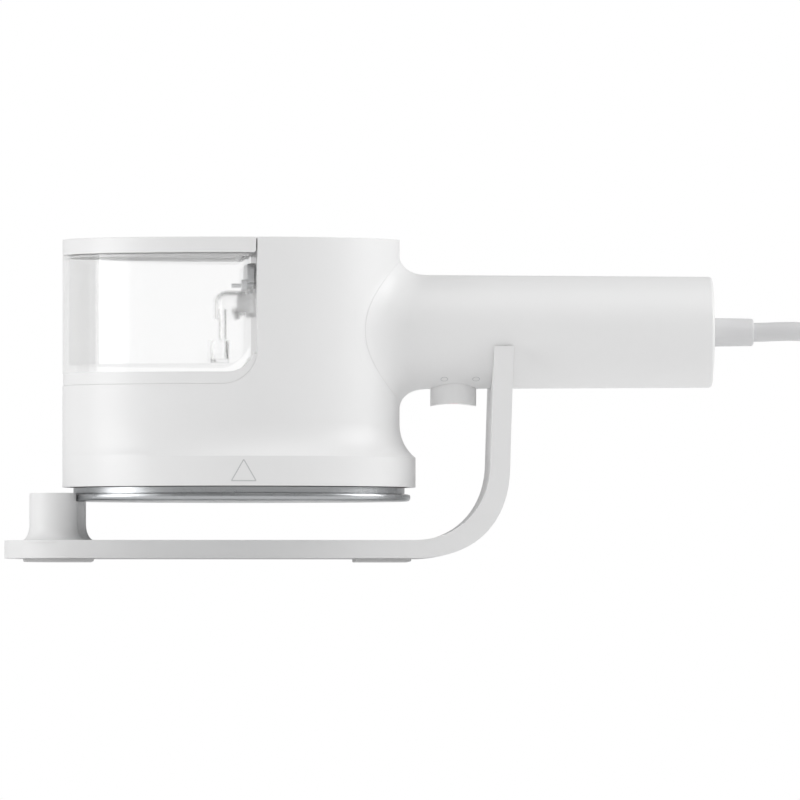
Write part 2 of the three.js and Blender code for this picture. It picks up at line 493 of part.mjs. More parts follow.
// ---- Button, switch and electronics ----
function makeControls() {
  const up = (z) => v3(BUTTON_X, 0, z);
  const guideTop = 79.6;
  const buttonTop = guideTop + GAP + 2;
  const saddleR = 39;
  const saddle = rod(v3(BUTTON_X, -20, BUTTON_BOTTOM + 1.1 - saddleR), v3(BUTTON_X, 20, BUTTON_BOTTOM + 1.1 - saddleR),
    saddleR, saddleR, 72);
  const button = join(rod(up(BUTTON_BOTTOM), up(buttonTop), BUTTON_R, BUTTON_R, 24),
    rod(up(guideTop + GAP), up(buttonTop), BUTTON_R + 1.6, BUTTON_R + 1.6, 24));
  piece('trigger_button', cut(button, saddle, rod(up(70), up(90), 6.4), rod(up(60), up(72), 2.1, 2.1, 10)), whiteAbs);
  piece('led', rod(up(BUTTON_BOTTOM + 1.4), up(69.6), 1.8, 1.8, 10), siliconeRed);

  const guide = sleeve(up(74), up(guideTop), 13, BUTTON_R + GAP, 24);
  const conform = rod(v3(0, 0, HANDLE_HEIGHT), v3(70, 0, HANDLE_HEIGHT), HANDLE_R0 - HANDLE_WALL - GAP,
    HANDLE_R0 - HANDLE_WALL - GAP, 36);
  piece('button_guide', guide.intersect(conform), whiteAbs);

  // Spring between the button's bore and the switch bracket.
  const spring = { r: 4.8, wire: 0.5, turns: 4, low: 70.9, high: 87.1 };
  class Helix extends THREE.Curve {
    getPoint(t) {
      const turn = 2 * Math.PI * spring.turns * t;
      return v3(BUTTON_X + spring.r * Math.cos(turn), spring.r * Math.sin(turn), THREE.MathUtils.lerp(spring.low,
        spring.high, t));
    }
  }
  piece('trigger_spring', sweep(circle(spring.wire, 4), new Helix(), 36), steel);

  const bracket = { bottom: 88, top: 89.8 };
  const switchBox = { left: 35.4, right: 48.2, half: 3, bottom: 85.9, top: 92.4 };
  piece('switch_bracket', cut(box(18, 50, -17, 17, bracket.bottom, bracket.top), box(switchBox.left - 0.4,
    switchBox.right + 0.4, -3.4, 3.4, 80, 95)), heatResin);
  piece('microswitch', join(box(switchBox.left, switchBox.right, -switchBox.half, switchBox.half, switchBox.bottom,
    switchBox.top), box(37.6, 38.8, -1.5, 1.5, buttonTop + BUTTON_TRAVEL + 0.4, 87)), blackResin);

  const board = { left: 52, right: 112, half: 15, bottom: 86, top: 87.6 };
  piece('control_board', box(board.left, board.right, -board.half, board.half, board.bottom, board.top), boardGreen);
  const onBoard = board.top + GAP;
  piece('wire_connector', box(54, 62, -8, 8, onBoard, 94), whiteAbs);
  piece('relay', box(72, 91, -8, 8, onBoard, 102), blackResin);
  piece('mains_terminal', box(98, 109, -8, 8, onBoard, 96.5), heatResin);

  piece('inner_lead', sweep(circle(3.3), through([127.2, 0, 92], [122, 0, 92.2], [115, 0, 92.4], [109.4, 0, 92.4]), 5),
    cableGrey);
  piece('cord_clamp', cut(box(115, 120.5, -9, 9, 93, 99), rod(v3(110, 0, 92.3), v3(125, 0, 92.3), 3.7)), heatResin);
  [-1, 1].forEach((s, i) => {
    const route = through([HEATER_END.x, HEATER_END.y * s, 57], [-12, 13 * s, 66], [-6, 15 * s, 76], [-6, 15 * s, 92], [8, 12 * s, 100],
      [30, 8 * s, 98], [46, 5 * s, 95], [53.4, 4 * s, 91.5]);
    piece(`heater_wire_${i + 1}`, sweep(circle(1.3, 5), route, 20), siliconeRed);
  });
}

// ---- Mains cord ----
function makeCord() {
  const { x, mid, pitch, layers, bottom } = COIL;
  const turnTop = bottom + pitch * (layers - 0.5);
  const [inner, outer] = [mid - pitch, mid + pitch];
  const lane = mid + pitch / 2;
  const route = through([LENGTH / 2 + GAP, 0, 92], [172, 0, 92], [196, -3, 86], [217, -13, 69], [235, -28, 45],
    [252, -39, 31], [x - 25.9, -lane, turnTop]);
  piece('cord_run', sweep(circle(CORD_R, 10), route, 12), cableGrey);

  const top = bottom + pitch * layers;
  const ring = [v2(inner, bottom), v2(outer, bottom), v2(outer, top), v2(inner, top), v2(inner, bottom)];
  piece('cord_coil', solid(new THREE.LatheGeometry(ring, 32).rotateX(Math.PI / 2).translate(x, 0, 0)), cableGrey);

  const strap = { half: 4, thick: 1.1 };
  const slack = 0.8;
  const band = box(x + inner - slack - strap.thick, x + outer + slack + strap.thick, -strap.half, strap.half, 0,
    top + slack + strap.thick);
  const hole = box(x + inner - slack, x + outer + slack, -10, 10, strap.thick, top + slack);
  piece('cord_tie', band.subtract(hole), rubberGrey);

  // Moulded plug lying on the floor where the last turn leaves the coil.
  const plug = { height: 15, half: 12, length: 38, neck: 13 };
  const neckEnd = x - 27.4;
  const bodyEnd = neckEnd - plug.neck;
  const axis = plug.height / 2;
  const soft = 4;
  const roundBox = [[1, 0], [0, 1], [-1, 2], [0, 3]].flatMap((_, i) => ramp(3, (t) => {
    const turn = (i + t) * Math.PI / 2;
    const side = v2(Math.cos((i + 0.5) * Math.PI / 2) > 0 ? 1 : -1, Math.sin((i + 0.5) * Math.PI / 2) > 0 ? 1 : -1);
    return v2(side.x * (axis - soft) + soft * Math.cos(turn), side.y * (plug.half - soft) + soft * Math.sin(turn));
  }));
  const moulding = new THREE.ExtrudeGeometry(new THREE.Shape(roundBox), { depth: plug.length, bevelEnabled: false })
    .rotateY(-Math.PI / 2).translate(bodyEnd, lane, axis);
  const neck = rod(v3(bodyEnd - 1, lane, axis), v3(neckEnd, lane, axis), 5.4, 4.6);
  piece('plug_body', join(solid(moulding), neck), cableGrey);
  [-1, 1].forEach((s, i) => {
    const end = bodyEnd - plug.length - GAP;
    piece(`plug_pin_${i + 1}`, box(end - 17, end, lane + s * 6.35 - 0.8, lane + s * 6.35 + 0.8, axis - 3.2, axis + 3.2),
      brass);
  });
}

makeStand();
makeSteamPlate();
makeBoiler();
makeHead();
makeWaterPath();
makeTank();
makeHandle();
makeControls();
makeCord();

export default steamer;
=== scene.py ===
import math

import bpy
import bmesh
from mathutils import Matrix, Vector


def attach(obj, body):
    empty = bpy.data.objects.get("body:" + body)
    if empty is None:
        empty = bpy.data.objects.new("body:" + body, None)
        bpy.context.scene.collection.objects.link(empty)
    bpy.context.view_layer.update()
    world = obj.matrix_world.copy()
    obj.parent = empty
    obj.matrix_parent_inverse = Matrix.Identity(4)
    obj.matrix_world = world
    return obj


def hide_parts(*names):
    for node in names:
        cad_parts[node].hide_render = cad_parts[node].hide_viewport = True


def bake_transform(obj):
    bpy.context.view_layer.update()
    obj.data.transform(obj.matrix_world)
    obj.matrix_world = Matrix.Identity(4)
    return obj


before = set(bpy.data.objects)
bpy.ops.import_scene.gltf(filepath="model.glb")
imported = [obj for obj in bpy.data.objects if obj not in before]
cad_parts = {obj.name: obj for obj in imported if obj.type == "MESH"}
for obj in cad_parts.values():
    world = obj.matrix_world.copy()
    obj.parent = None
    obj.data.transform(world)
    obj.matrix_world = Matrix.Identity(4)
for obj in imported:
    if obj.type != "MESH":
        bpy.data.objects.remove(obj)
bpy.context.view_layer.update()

# ---- Camera ----
# A long lens a little below the level of the table, turned slightly to the left of square on.
# Sizes in the sections below are in millimetres; MM turns them into metres.
MM = 0.001
CAMERA_TURN = math.radians(-2.3)
CAMERA_RISE = math.radians(-1.2)
CAMERA_DISTANCE = 5.9
CAMERA_AIM = Vector((0.0083, 0, 0.0648))
FRAME_WIDTH = 0.320
SENSOR = 36
camera_back = Vector((
    math.sin(CAMERA_TURN) * math.cos(CAMERA_RISE),
    -math.cos(CAMERA_TURN) * math.cos(CAMERA_RISE),
    math.sin(CAMERA_RISE),
))
camera_data = bpy.data.cameras.new("camera")
camera_data.sensor_width = SENSOR
camera_data.lens = SENSOR * CAMERA_DISTANCE / FRAME_WIDTH
camera_data.clip_start = 0.05
camera_data.clip_end = 50
camera = bpy.data.objects.new("camera", camera_data)
camera.matrix_world = (
    Matrix.Translation(CAMERA_AIM + camera_back * CAMERA_DISTANCE)
    @ camera_back.to_track_quat("Z", "Y").to_matrix().to_4x4()
)
bpy.context.scene.collection.objects.link(camera)
bpy.context.scene.camera = camera
bpy.context.scene.view_settings.view_transform = "Standard"


# ---- Studio ----
# A white room with three large soft boxes and a pale table top. The table top is a thin film that
# lets a view from beneath straight through, as the lens sits lower than the table.
def linear(hex_colour):
    """An sRGB hex colour as linear RGBA."""
    channels = [int(hex_colour[i:i + 2], 16) / 255 for i in (1, 3, 5)]
    curve = [c / 12.92 if c <= 0.04045 else ((c + 0.055) / 1.055) ** 2.4 for c in channels]
    return (*curve, 1)


def add(tree, kind, inputs=None, **settings):
    """A new node of that kind. Each input gets its value, or a link where the value is a socket."""
    node = tree.nodes.new(kind)
    for name, value in settings.items():
        setattr(node, name, value)
    for name, value in (inputs or {}).items():
        if isinstance(value, bpy.types.NodeSocket):
            tree.links.new(value, node.inputs[name])
        else:
            node.inputs[name].default_value = value
    return node


ROOM_SEEN = 1.0
ROOM_FRONT = 0.28
ROOM_BACK = 0.55
world = bpy.data.worlds.new("white_room")
world.use_nodes = True
bpy.context.scene.world = world
room = world.node_tree
room.nodes.clear()
ray = add(room, "ShaderNodeLightPath")
direct = add(room, "ShaderNodeMath", {0: ray.outputs["Is Camera Ray"], 1: ray.outputs["Is Transmission Ray"]},
             operation="MAXIMUM")
way = add(room, "ShaderNodeTexCoord")
way_parts = add(room, "ShaderNodeSeparateXYZ", {0: way.outputs["Generated"]})
room_fade = add(room, "ShaderNodeMapRange",
                {0: way_parts.outputs["Y"], 1: -1.0, 2: 1.0, 3: ROOM_FRONT, 4: ROOM_BACK})
dim_room = add(room, "ShaderNodeBackground", {"Color": linear("#ffffff"), "Strength": room_fade.outputs[0]})
bright_room = add(room, "ShaderNodeBackground", {"Color": linear("#ffffff"), "Strength": ROOM_SEEN})
seen_room = add(room, "ShaderNodeMixShader",
                {0: direct.outputs[0], 1: dim_room.outputs[0], 2: bright_room.outputs[0]})
add(room, "ShaderNodeOutputWorld", {"Surface": seen_room.outputs[0]})

# Each soft box: name, place, the point that it faces, width and height in metres, watts.
SOFT_BOXES = [
    ("overhead_box", (0.3, -0.5, 1.4), (0.0, 0.0, 0.06), 1.2, 1.2, 5.2),
    ("left_box", (-1.4, -0.5, 0.4), (0.0, 0.0, 0.06), 0.8, 1.0, 9.6),
    ("right_box", (1.4, -0.25, 0.7), (0.0, 0.0, 0.06), 0.9, 1.0, 10.5),
]
for name, place, target, width, height, watts in SOFT_BOXES:
    lamp = bpy.data.lights.new(name, "AREA")
    lamp.shape = "RECTANGLE"
    lamp.size = width
    lamp.size_y = height
    lamp.energy = watts
    lamp_object = bpy.data.objects.new(name, lamp)
    lamp_back = (Vector(place) - Vector(target)).normalized()
    lamp_object.matrix_world = (
        Matrix.Translation(place) @ lamp_back.to_track_quat("Z", "Y").to_matrix().to_4x4()
    )
    bpy.context.scene.collection.objects.link(lamp_object)


def blank(name):
    """A new material and its tree, with no nodes yet."""
    made = bpy.data.materials.new(name)
    made.use_nodes = True
    made.node_tree.nodes.clear()
    return made, made.node_tree


def new_object(name, vertices, faces):
    """A mesh object from points in metres."""
    mesh = bpy.data.meshes.new(name)
    mesh.from_pydata([tuple(v) for v in vertices], [], faces)
    mesh.update()
    item = bpy.data.objects.new(name, mesh)
    bpy.context.scene.collection.objects.link(item)
    return item


# Table top: smooth pale laminate, seen from above only.
TABLE_HALF = 2.5
TABLE_GLOW = 0.22  # stands for light from the white room below the table
table_material, tree = blank("pale_table_laminate")
side = add(tree, "ShaderNodeNewGeometry")
laminate = add(tree, "ShaderNodeBsdfPrincipled", {
    "Base Color": linear("#e4e4e4"), "Roughness": 0.55, "Emission Color": linear("#ffffff"),
    "Emission Strength": TABLE_GLOW})
film = add(tree, "ShaderNodeBsdfTransparent")
one_way = add(tree, "ShaderNodeMixShader",
              {0: side.outputs["Backfacing"], 1: laminate.outputs[0], 2: film.outputs[0]})
add(tree, "ShaderNodeOutputMaterial", {"Surface": one_way.outputs[0]})
table = new_object(
    "table_top",
    [(x * TABLE_HALF, y * TABLE_HALF, 0) for x, y in ((-1, -1), (1, -1), (1, 1), (-1, 1))],
    [(0, 1, 2, 3)],
)
table.data.materials.append(table_material)

# ---- Mains cord, tie and plug ----
# Round two-core lead in soft light grey PVC, extruded with a faint matt skin. It leaves the handle
# straight, falls in one curve and its spare length is wound in a neat coil of six and a half turns
# held by a rubber strap, with a moulded two-pin plug beside it.
CORD_RADIUS = 3.8
CORD_SIDES = 16
CORD_RUN = [
    (149.85, 0, 92), (172, 0, 92), (196, -3, 86), (217, -13, 69), (235, -28, 45), (252, -39, 31),
    (266.1, -42.3, 28), (292, -42.3, 28),
]
COIL_X = 292
COIL_MID = 38.5
COIL_PITCH = 7.6
COIL_BOTTOM = 1.4
COIL_LANES = [(1, 4), (-1, 4), (-1, 3), (1, 3), (1, 2), (-1, 2), (-1, 1), (1, 1)]  # out or in, layer
COIL_STEPS = 48
PLUG_NECK_END = COIL_X - 27.4
PLUG_NECK = 13
PLUG_LENGTH = 38
PLUG_HEIGHT = 15
END_COUNT = 8  # points from the coil to the plug


def ramp(count):
    """Shares from 0 to 1 in count steps."""
    return [i / count for i in range(count + 1)]


def smooth(t):
    t = min(max(t, 0), 1)
    return t * t * (3 - 2 * t)


def through(points, steps):
    """A smooth line through the points, with that many steps between neighbours."""
    points = [Vector(p) for p in points]
    line = [2 * points[0] - points[1], *points, 2 * points[-1] - points[-2]]
    path = []
    for four in zip(line, line[1:], line[2:], line[3:]):
        knot = [0]
        for p, q in zip(four, four[1:]):
            knot.append(knot[-1] + (q - p).length ** 0.5)
        for i in range(steps):
            t = knot[1] + (knot[2] - knot[1]) * i / steps
            pairs = [four[k].lerp(four[k + 1], (t - knot[k]) / (knot[k + 1] - knot[k])) for k in range(3)]
            pairs = [pairs[k].lerp(pairs[k + 1], (t - knot[k]) / (knot[k + 2] - knot[k])) for k in range(2)]
            path.append(pairs[0].lerp(pairs[1], (t - knot[1]) / (knot[2] - knot[1])))
    path.append(points[-1])
    return path


def coil_path():
    """The wound part: each lane runs a whole turn, and steps over to the next within a quarter turn."""
    quarter = math.pi / 2
    starts = [3 * quarter + k * (2 * math.pi - quarter / 2) for k in range(len(COIL_LANES) - 1)]
    total = 13 * math.pi
    count = round(total / (2 * math.pi) * COIL_STEPS)
    path = []
    for i in range(1, count + 1):
        turn = total * i / count
        place = sum(smooth((turn - s) / quarter) for s in starts)
        lane = min(int(place), len(COIL_LANES) - 2)
        share = place - lane
        (side_a, layer_a), (side_b, layer_b) = COIL_LANES[lane], COIL_LANES[lane + 1]
        radius = COIL_MID + COIL_PITCH / 2 * (side_a + (side_b - side_a) * share)
        layer = layer_a + (layer_b - layer_a) * share
        angle = turn - quarter
        path.append(Vector((
            COIL_X + radius * math.cos(angle),
            radius * math.sin(angle),
            COIL_BOTTOM + COIL_PITCH * (layer - 0.5),
        )))
    return path


def grid_faces(rows, columns, around=True):
    """Quads between rows of equal length, each row a closed ring where around is true."""
    last = columns if around else columns - 1
    return [
        (r * columns + c, r * columns + (c + 1) % columns,
         (r + 1) * columns + (c + 1) % columns, (r + 1) * columns + c)
        for r in range(rows - 1) for c in range(last)
    ]


def tidy_mesh(item):
    """Merges doubles and turns every face outwards."""
    work = bmesh.new()
    work.from_mesh(item.data)
    bmesh.ops.remove_doubles(work, verts=work.verts, dist=1e-6)
    bmesh.ops.dissolve_degenerate(work, edges=work.edges, dist=1e-6)
    bmesh.ops.recalc_face_normals(work, faces=work.faces)
    work.to_mesh(item.data)
    work.free()
    return item


def loft(name, rings, closed=False):
    """A closed skin over rings of points in millimetres, capped at both ends or joined end to end."""
    columns = len(rings[0])
    points = [Vector(p) * MM for ring in rings for p in ring]
    rows = len(rings)
    faces = grid_faces(rows, columns)
    if closed:
        end = (rows - 1) * columns
        faces += [(end + c, end + (c + 1) % columns, (c + 1) % columns, c) for c in range(columns)]
    else:
        faces.append(tuple(range(columns)))
        faces.append(tuple(range((rows - 1) * columns, rows * columns)))
    return tidy_mesh(new_object(name, points, faces))


def tube(name, path, section):
    """A section of (across, up) points carried along a path in millimetres without twisting."""
    rings = []
    up = Vector((0, 0, 1))
    for i, point in enumerate(path):
        along = (path[min(i + 1, len(path) - 1)] - path[max(i - 1, 0)]).normalized()
        across = up.cross(along).normalized()
        up = along.cross(across).normalized()
        rings.append([point + across * a + up * b for a, b in section])
    return loft(name, rings)


def circle(radius, sides):
    return [(radius * math.cos(2 * math.pi * i / sides), radius * math.sin(2 * math.pi * i / sides))
            for i in range(sides)]


def shade(item, angle=35):
    """Smooth shading with sharp edges kept where faces meet at more than the angle."""
    for face in item.data.polygons:
        face.use_smooth = True
    item.data.set_sharp_from_angle(angle=math.radians(angle))
    return item


def settle(item):
    """Turns the piece and its modifiers into one plain mesh."""
    bpy.context.view_layer.update()
    evaluated = item.evaluated_get(bpy.context.evaluated_depsgraph_get())
    mesh = bpy.data.meshes.new_from_object(evaluated)
    item.modifiers.clear()
    old = item.data
    item.data = mesh
    bpy.data.meshes.remove(old)
    return item


def combine(item, other, operation="DIFFERENCE"):
    """Cuts another closed shape from the piece, or joins it on, and deletes the other shape."""
    boolean = item.modifiers.new("combine", "BOOLEAN")
    boolean.object = other
    boolean.operation = operation
    boolean.solver = "MANIFOLD"
    settle(item)
    bpy.data.objects.remove(other)
    return item


def soften(item, width, segments=2, angle=40):
    """Rounds the edges by that many millimetres and keeps the flats flat to the eye."""
    bevel = item.modifiers.new("edge", "BEVEL")
    bevel.width = width * MM
    bevel.segments = segments
    bevel.limit_method = "ANGLE"
    bevel.angle_limit = math.radians(angle)
    bevel.use_clamp_overlap = True
    bevel.miter_outer = "MITER_ARC"
    weigh = item.modifiers.new("flats", "WEIGHTED_NORMAL")
    weigh.keep_sharp = True
    shade(item, 180)
    return settle(item)


def moulded(name, colour, roughness, grain, depth, mottle=0.03, specular_ior=1.5, sheen=0.0):
    """A moulded plastic or rubber: a grain of that size in millimetres, depth deep, and a faint
    cloudiness in its gloss over a few centimetres, as handling leaves."""
    made, nodes = blank(name)
    place = add(nodes, "ShaderNodeTexCoord")
    fine = add(nodes, "ShaderNodeTexNoise", {"Vector": place.outputs["Object"], "Scale": 1 / (grain * MM),
                                            "Detail": 2.0, "Roughness": 0.6})
    cloud = add(nodes, "ShaderNodeTexNoise", {"Vector": place.outputs["Object"], "Scale": 1 / (28 * MM),
                                             "Detail": 3.0})
    gloss = add(nodes, "ShaderNodeMapRange", {0: cloud.outputs[0], 1: 0.3, 2: 0.7,
                                             3: roughness - mottle, 4: roughness + mottle})
    tint = add(nodes, "ShaderNodeMix", {0: cloud.outputs[0], 6: linear(colour),
                                        7: [c * 0.975 for c in linear(colour)[:3]] + [1]}, data_type="RGBA")
    relief = add(nodes, "ShaderNodeBump",
                 {"Height": fine.outputs[0], "Strength": 0.25, "Distance": depth * MM})
    body = add(nodes, "ShaderNodeBsdfPrincipled", {
        "Base Color": tint.outputs[2], "Roughness": gloss.outputs[0], "IOR": specular_ior,
        "Normal": relief.outputs[0], "Sheen Weight": sheen,
    })
    add(nodes, "ShaderNodeOutputMaterial", {"Surface": body.outputs[0]})
    return made


def finish(item, made, slot, *nodes, body="steamer"):
    """Gives a finished piece its material and body, and hides the CAD nodes that it stands for. The slot is
    not used.
    """
    item.data.materials.clear()
    item.data.materials.append(made)
    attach(item, body)
    if nodes:
        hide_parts(*nodes)
    return item


def dress(made, *nodes):
    """Gives CAD nodes that show as they are their material."""
    for node in nodes:
        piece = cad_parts[node]
        piece.data.materials.clear()
        piece.data.materials.append(made)


# Soft PVC, extruded: a dull skin with a very fine grain.
cable_pvc = moulded("soft_pvc_light_grey", "#dcdcdd", 0.5, 0.5, 0.02)
# Thermoplastic rubber strap, matt.
strap_rubber = moulded("matt_grey_rubber", "#8e8f91", 0.7, 0.6, 0.04)

cord_path = through(CORD_RUN, 10) + coil_path()
last = cord_path[-1]
for t in ramp(END_COUNT)[1:]:
    cord_path.append(Vector((
        COIL_X + (PLUG_NECK_END - COIL_X + 0.3) * t,
        last.y,
        last.z + (PLUG_HEIGHT / 2 - last.z) * smooth(t),
    )))
cord = tube("mains_cord", cord_path, circle(CORD_RADIUS, CORD_SIDES))
shade(cord, 60)
cord.data.materials.append(cable_pvc)
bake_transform(cord)
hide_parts("cord_run", "cord_coil")


def rounded_box_ring(x, half, height, corner, centre_y, centre_z, sides=6):
    """A rounded rectangle across X, as points in millimetres."""
    ring = []
    for k in range(4):
        sy = 1 if k in (0, 3) else -1
        sz = 1 if k in (0, 1) else -1
        for i in range(sides + 1):
            a = math.pi / 2 * (k + i / sides)
            ring.append((x, centre_y + sy * (half - corner) + corner * math.cos(a),
                         centre_z + sz * (height / 2 - corner) + corner * math.sin(a)))
    return ring


plug_y = last.y
plug_z = PLUG_HEIGHT / 2
body_end = PLUG_NECK_END - PLUG_NECK
plug_rows = [
    # distance from the neck end, half width, height, corner radius
    (0.0, 5.2, 10.0, 4.6), (1.2, 6.6, 11.6, 4.8), (5, 8.6, 13.0, 5.0), (10, 10.6, 14.2, 5.0),
    (15, 11.8, 14.8, 4.8), (20, 12.0, 15.0, 4.4), (30, 12.0, 15.0, 4.0), (36.6, 12.0, 15.0, 4.0),
    (37.6, 11.6, 14.4, 3.8), (PLUG_LENGTH, 10.8, 13.4, 3.4),
]
plug = loft("plug", [
    rounded_box_ring(body_end - d, half, height, corner, plug_y, plug_z)
    for d, half, height, corner in plug_rows
])
neck = loft("neck", [
    [(x, plug_y + r * c, plug_z + r * s) for c, s in circle(1, 24)]
    for x, r in ((body_end - 2, 4.9), (body_end + 0.5, 4.9), (PLUG_NECK_END - 0.8, 4.3), (PLUG_NECK_END, 3.9))
])
combine(plug, neck, "UNION")


def start_tree(name, sizes, *others):
    """A geometry tree with a named input for each size in millimetres, for each (label, kind, value)
    in others and for the material. Gives the tree and its input node."""
    made = bpy.data.node_groups.new(name, "GeometryNodeTree")
    inputs = [("Geometry", "Geometry", None)]
    inputs += [(label, "Float", size * MM) for label, size in sizes.items()]
    inputs += [*others, ("Material", "Material", None)]
    for label, kind, value in inputs:
        socket = made.interface.new_socket(label, in_out="INPUT", socket_type="NodeSocket" + kind)
        if value is not None:
            socket.default_value = value
    made.interface.new_socket("Geometry", in_out="OUTPUT", socket_type="NodeSocketGeometry")
    return made, add(made, "NodeGroupInput")


def end_tree(tree, grown, given):
    """Ends a tree: its instances are made real and get the material."""
    real = add(tree, "GeometryNodeRealizeInstances", {"Geometry": grown})
    coated = add(tree, "GeometryNodeSetMaterial", {
        "Geometry": real.outputs[0], "Material": given.outputs["Material"]})
    add(tree, "NodeGroupOutput", {"Geometry": coated.outputs[0]})


# Ribs round the neck let it bend; a tree sets them along a line of points.
rib_tree, given = start_tree("flex_ribs", {"Rib radius": 4.6, "Rib thickness": 0.75})
big = add(rib_tree, "GeometryNodeCurvePrimitiveCircle",
          {"Resolution": 32, "Radius": given.outputs["Rib radius"]})
small = add(rib_tree, "GeometryNodeCurvePrimitiveCircle",
            {"Resolution": 8, "Radius": given.outputs["Rib thickness"]})
rib = add(rib_tree, "GeometryNodeCurveToMesh", {"Curve": big.outputs[0], "Profile Curve": small.outputs[0]})
ribs = add(rib_tree, "GeometryNodeInstanceOnPoints", {
    "Points": given.outputs["Geometry"], "Instance": rib.outputs[0], "Rotation": (0, math.pi / 2, 0)})
end_tree(rib_tree, ribs.outputs[0], given)


def grow(item, tree, **values):
    """Runs a geometry tree on the piece with those inputs and keeps the result as a plain mesh."""
    modifier = item.modifiers.new("grow", "NODES")
    modifier.node_group = tree
    sockets = {s.name: s.identifier for s in tree.interface.items_tree
               if s.item_type == "SOCKET" and s.in_out == "INPUT"}
    for label, value in values.items():
        modifier[sockets[label.replace("_", " ")]] = value
    settle(item)
    return tidy_mesh(item)


RIB_COUNT = 5
RIB_START = 1.8
RIB_PITCH = 2.1
rib_line = new_object("plug_ribs", [
    Vector((body_end + RIB_START + i * RIB_PITCH, plug_y, plug_z)) * MM for i in range(RIB_COUNT)], [])
grow(rib_line, rib_tree, Material=cable_pvc)


def merge(item, *others):
    """Adds other meshes to the piece and deletes their objects."""
    work = bmesh.new()
    for part in (item, *others):
        work.from_mesh(part.data)
    work.to_mesh(item.data)
    work.free()
    for part in others:
        bpy.data.objects.remove(part)
    return item


merge(plug, rib_line)
shade(plug, 50)
finish(plug, cable_pvc, "cable_pvc", "plug_body", body="stand")

# Flat blades, stamped from brass strip, with round tips and a hole near the end.
BLADE_HALF = 3.2
BLADE_LENGTH = 17
BLADE_THICK = 1.6
BLADE_APART = 12.7
BLADE_HOLE = 1.5
HOLE_PLACE = 13
blade_end = body_end - PLUG_LENGTH - 0.3


def prism(name, outline, low, high, up="Z"):
    """A flat outline in millimetres given thickness from low to high, along Z, or along Y for an
    outline of (x, z) points."""
    if up == "Z":
        rings = [[(x, y, level) for x, y in outline] for level in (low, high)]
    else:
        rings = [[(x, level, z) for x, z in outline] for level in (low, high)]
    return loft(name, rings)


def worked_metal(name, colour, roughness, scratch, depth, stretch=(1, 1, 1)):
    """A worked metal: scratches of that width in millimetres, drawn out by stretch."""
    made, nodes = blank(name)
    place = add(nodes, "ShaderNodeTexCoord")
    drawn = add(nodes, "ShaderNodeMapping", {"Vector": place.outputs["Object"], "Scale": stretch})
    lines = add(nodes, "ShaderNodeTexNoise", {"Vector": drawn.outputs[0], "Scale": 1 / (scratch * MM),
                                             "Detail": 3.0, "Roughness": 0.65})
    cloud = add(nodes, "ShaderNodeTexNoise", {"Vector": place.outputs["Object"], "Scale": 1 / (12 * MM)})
    blend = add(nodes, "ShaderNodeMath", {0: lines.outputs[0], 1: cloud.outputs[0]}, operation="ADD")
    gloss = add(nodes, "ShaderNodeMapRange", {0: blend.outputs[0], 1: 0.7, 2: 1.3,
                                             3: roughness * 0.75, 4: roughness * 1.25})
    relief = add(nodes, "ShaderNodeBump",
                 {"Height": lines.outputs[0], "Strength": 0.3, "Distance": depth * MM})
    body = add(nodes, "ShaderNodeBsdfPrincipled", {
        "Base Color": linear(colour), "Metallic": 1.0, "Roughness": gloss.outputs[0],
        "Normal": relief.outputs[0]})
    add(nodes, "ShaderNodeOutputMaterial", {"Surface": body.outputs[0]})
    return made


# Drawn brass, left bright: fine lines along its length.
brass = worked_metal("bright_drawn_brass", "#d9bb7a", 0.28, 0.15, 0.01, (0.1, 1, 1))
for i, side in enumerate((-1, 1)):
    middle = plug_y + side * BLADE_APART / 2
    tip = [(blade_end - BLADE_LENGTH + BLADE_HALF - BLADE_HALF * math.sin(math.pi * t),
            plug_z - BLADE_HALF * math.cos(math.pi * t)) for t in ramp(12)]
    outline = [(blade_end, plug_z + BLADE_HALF), (blade_end, plug_z - BLADE_HALF)] + tip
    blade = prism(f"plug_blade_{i + 1}", outline, middle - BLADE_THICK / 2, middle + BLADE_THICK / 2, up="Y")
    hole = loft("hole", [
        [(blade_end - HOLE_PLACE + c, y, plug_z + s) for c, s in circle(BLADE_HOLE, 24)]
        for y in (middle - 2, middle + 2)])
    combine(blade, hole)
    soften(blade, 0.2)
    finish(blade, brass, "brass", f"plug_pin_{i + 1}", body="stand")

# The strap goes once round the turns of the coil. Its section is a thin flat with eased edges.
STRAP = {"left": 321.75, "right": 339.45, "low": 0.55, "high": 33.15, "corner": 4.0}
STRAP_EDGE = [(-4, -0.5), (-4, 0.5), (-3.4, 0.55), (3.4, 0.55), (4, 0.5), (4, -0.5), (3.4, -0.55),
              (-3.4, -0.55)]
strap_path = []
for k, (sx, sz) in enumerate(((1, 1), (-1, 1), (-1, -1), (1, -1))):
    centre_x = (STRAP["right"] - STRAP["corner"]) if sx > 0 else (STRAP["left"] + STRAP["corner"])
    centre_z = (STRAP["high"] - STRAP["corner"]) if sz > 0 else (STRAP["low"] + STRAP["corner"])
    for i in range(9):
        a = math.pi / 2 * (k + i / 8)
        strap_path.append((centre_x, centre_z, a))
rings = []
for centre_x, centre_z, a in strap_path:
    ring = []
    for across, out in STRAP_EDGE:
        reach = STRAP["corner"] + out
        ring.append((centre_x + reach * math.cos(a), across, centre_z + reach * math.sin(a)))
    rings.append(ring)
strap = loft("cord_strap", rings, closed=True)
shade(strap, 50)
finish(strap, strap_rubber, "foot_rubber", "cord_tie", body="stand")

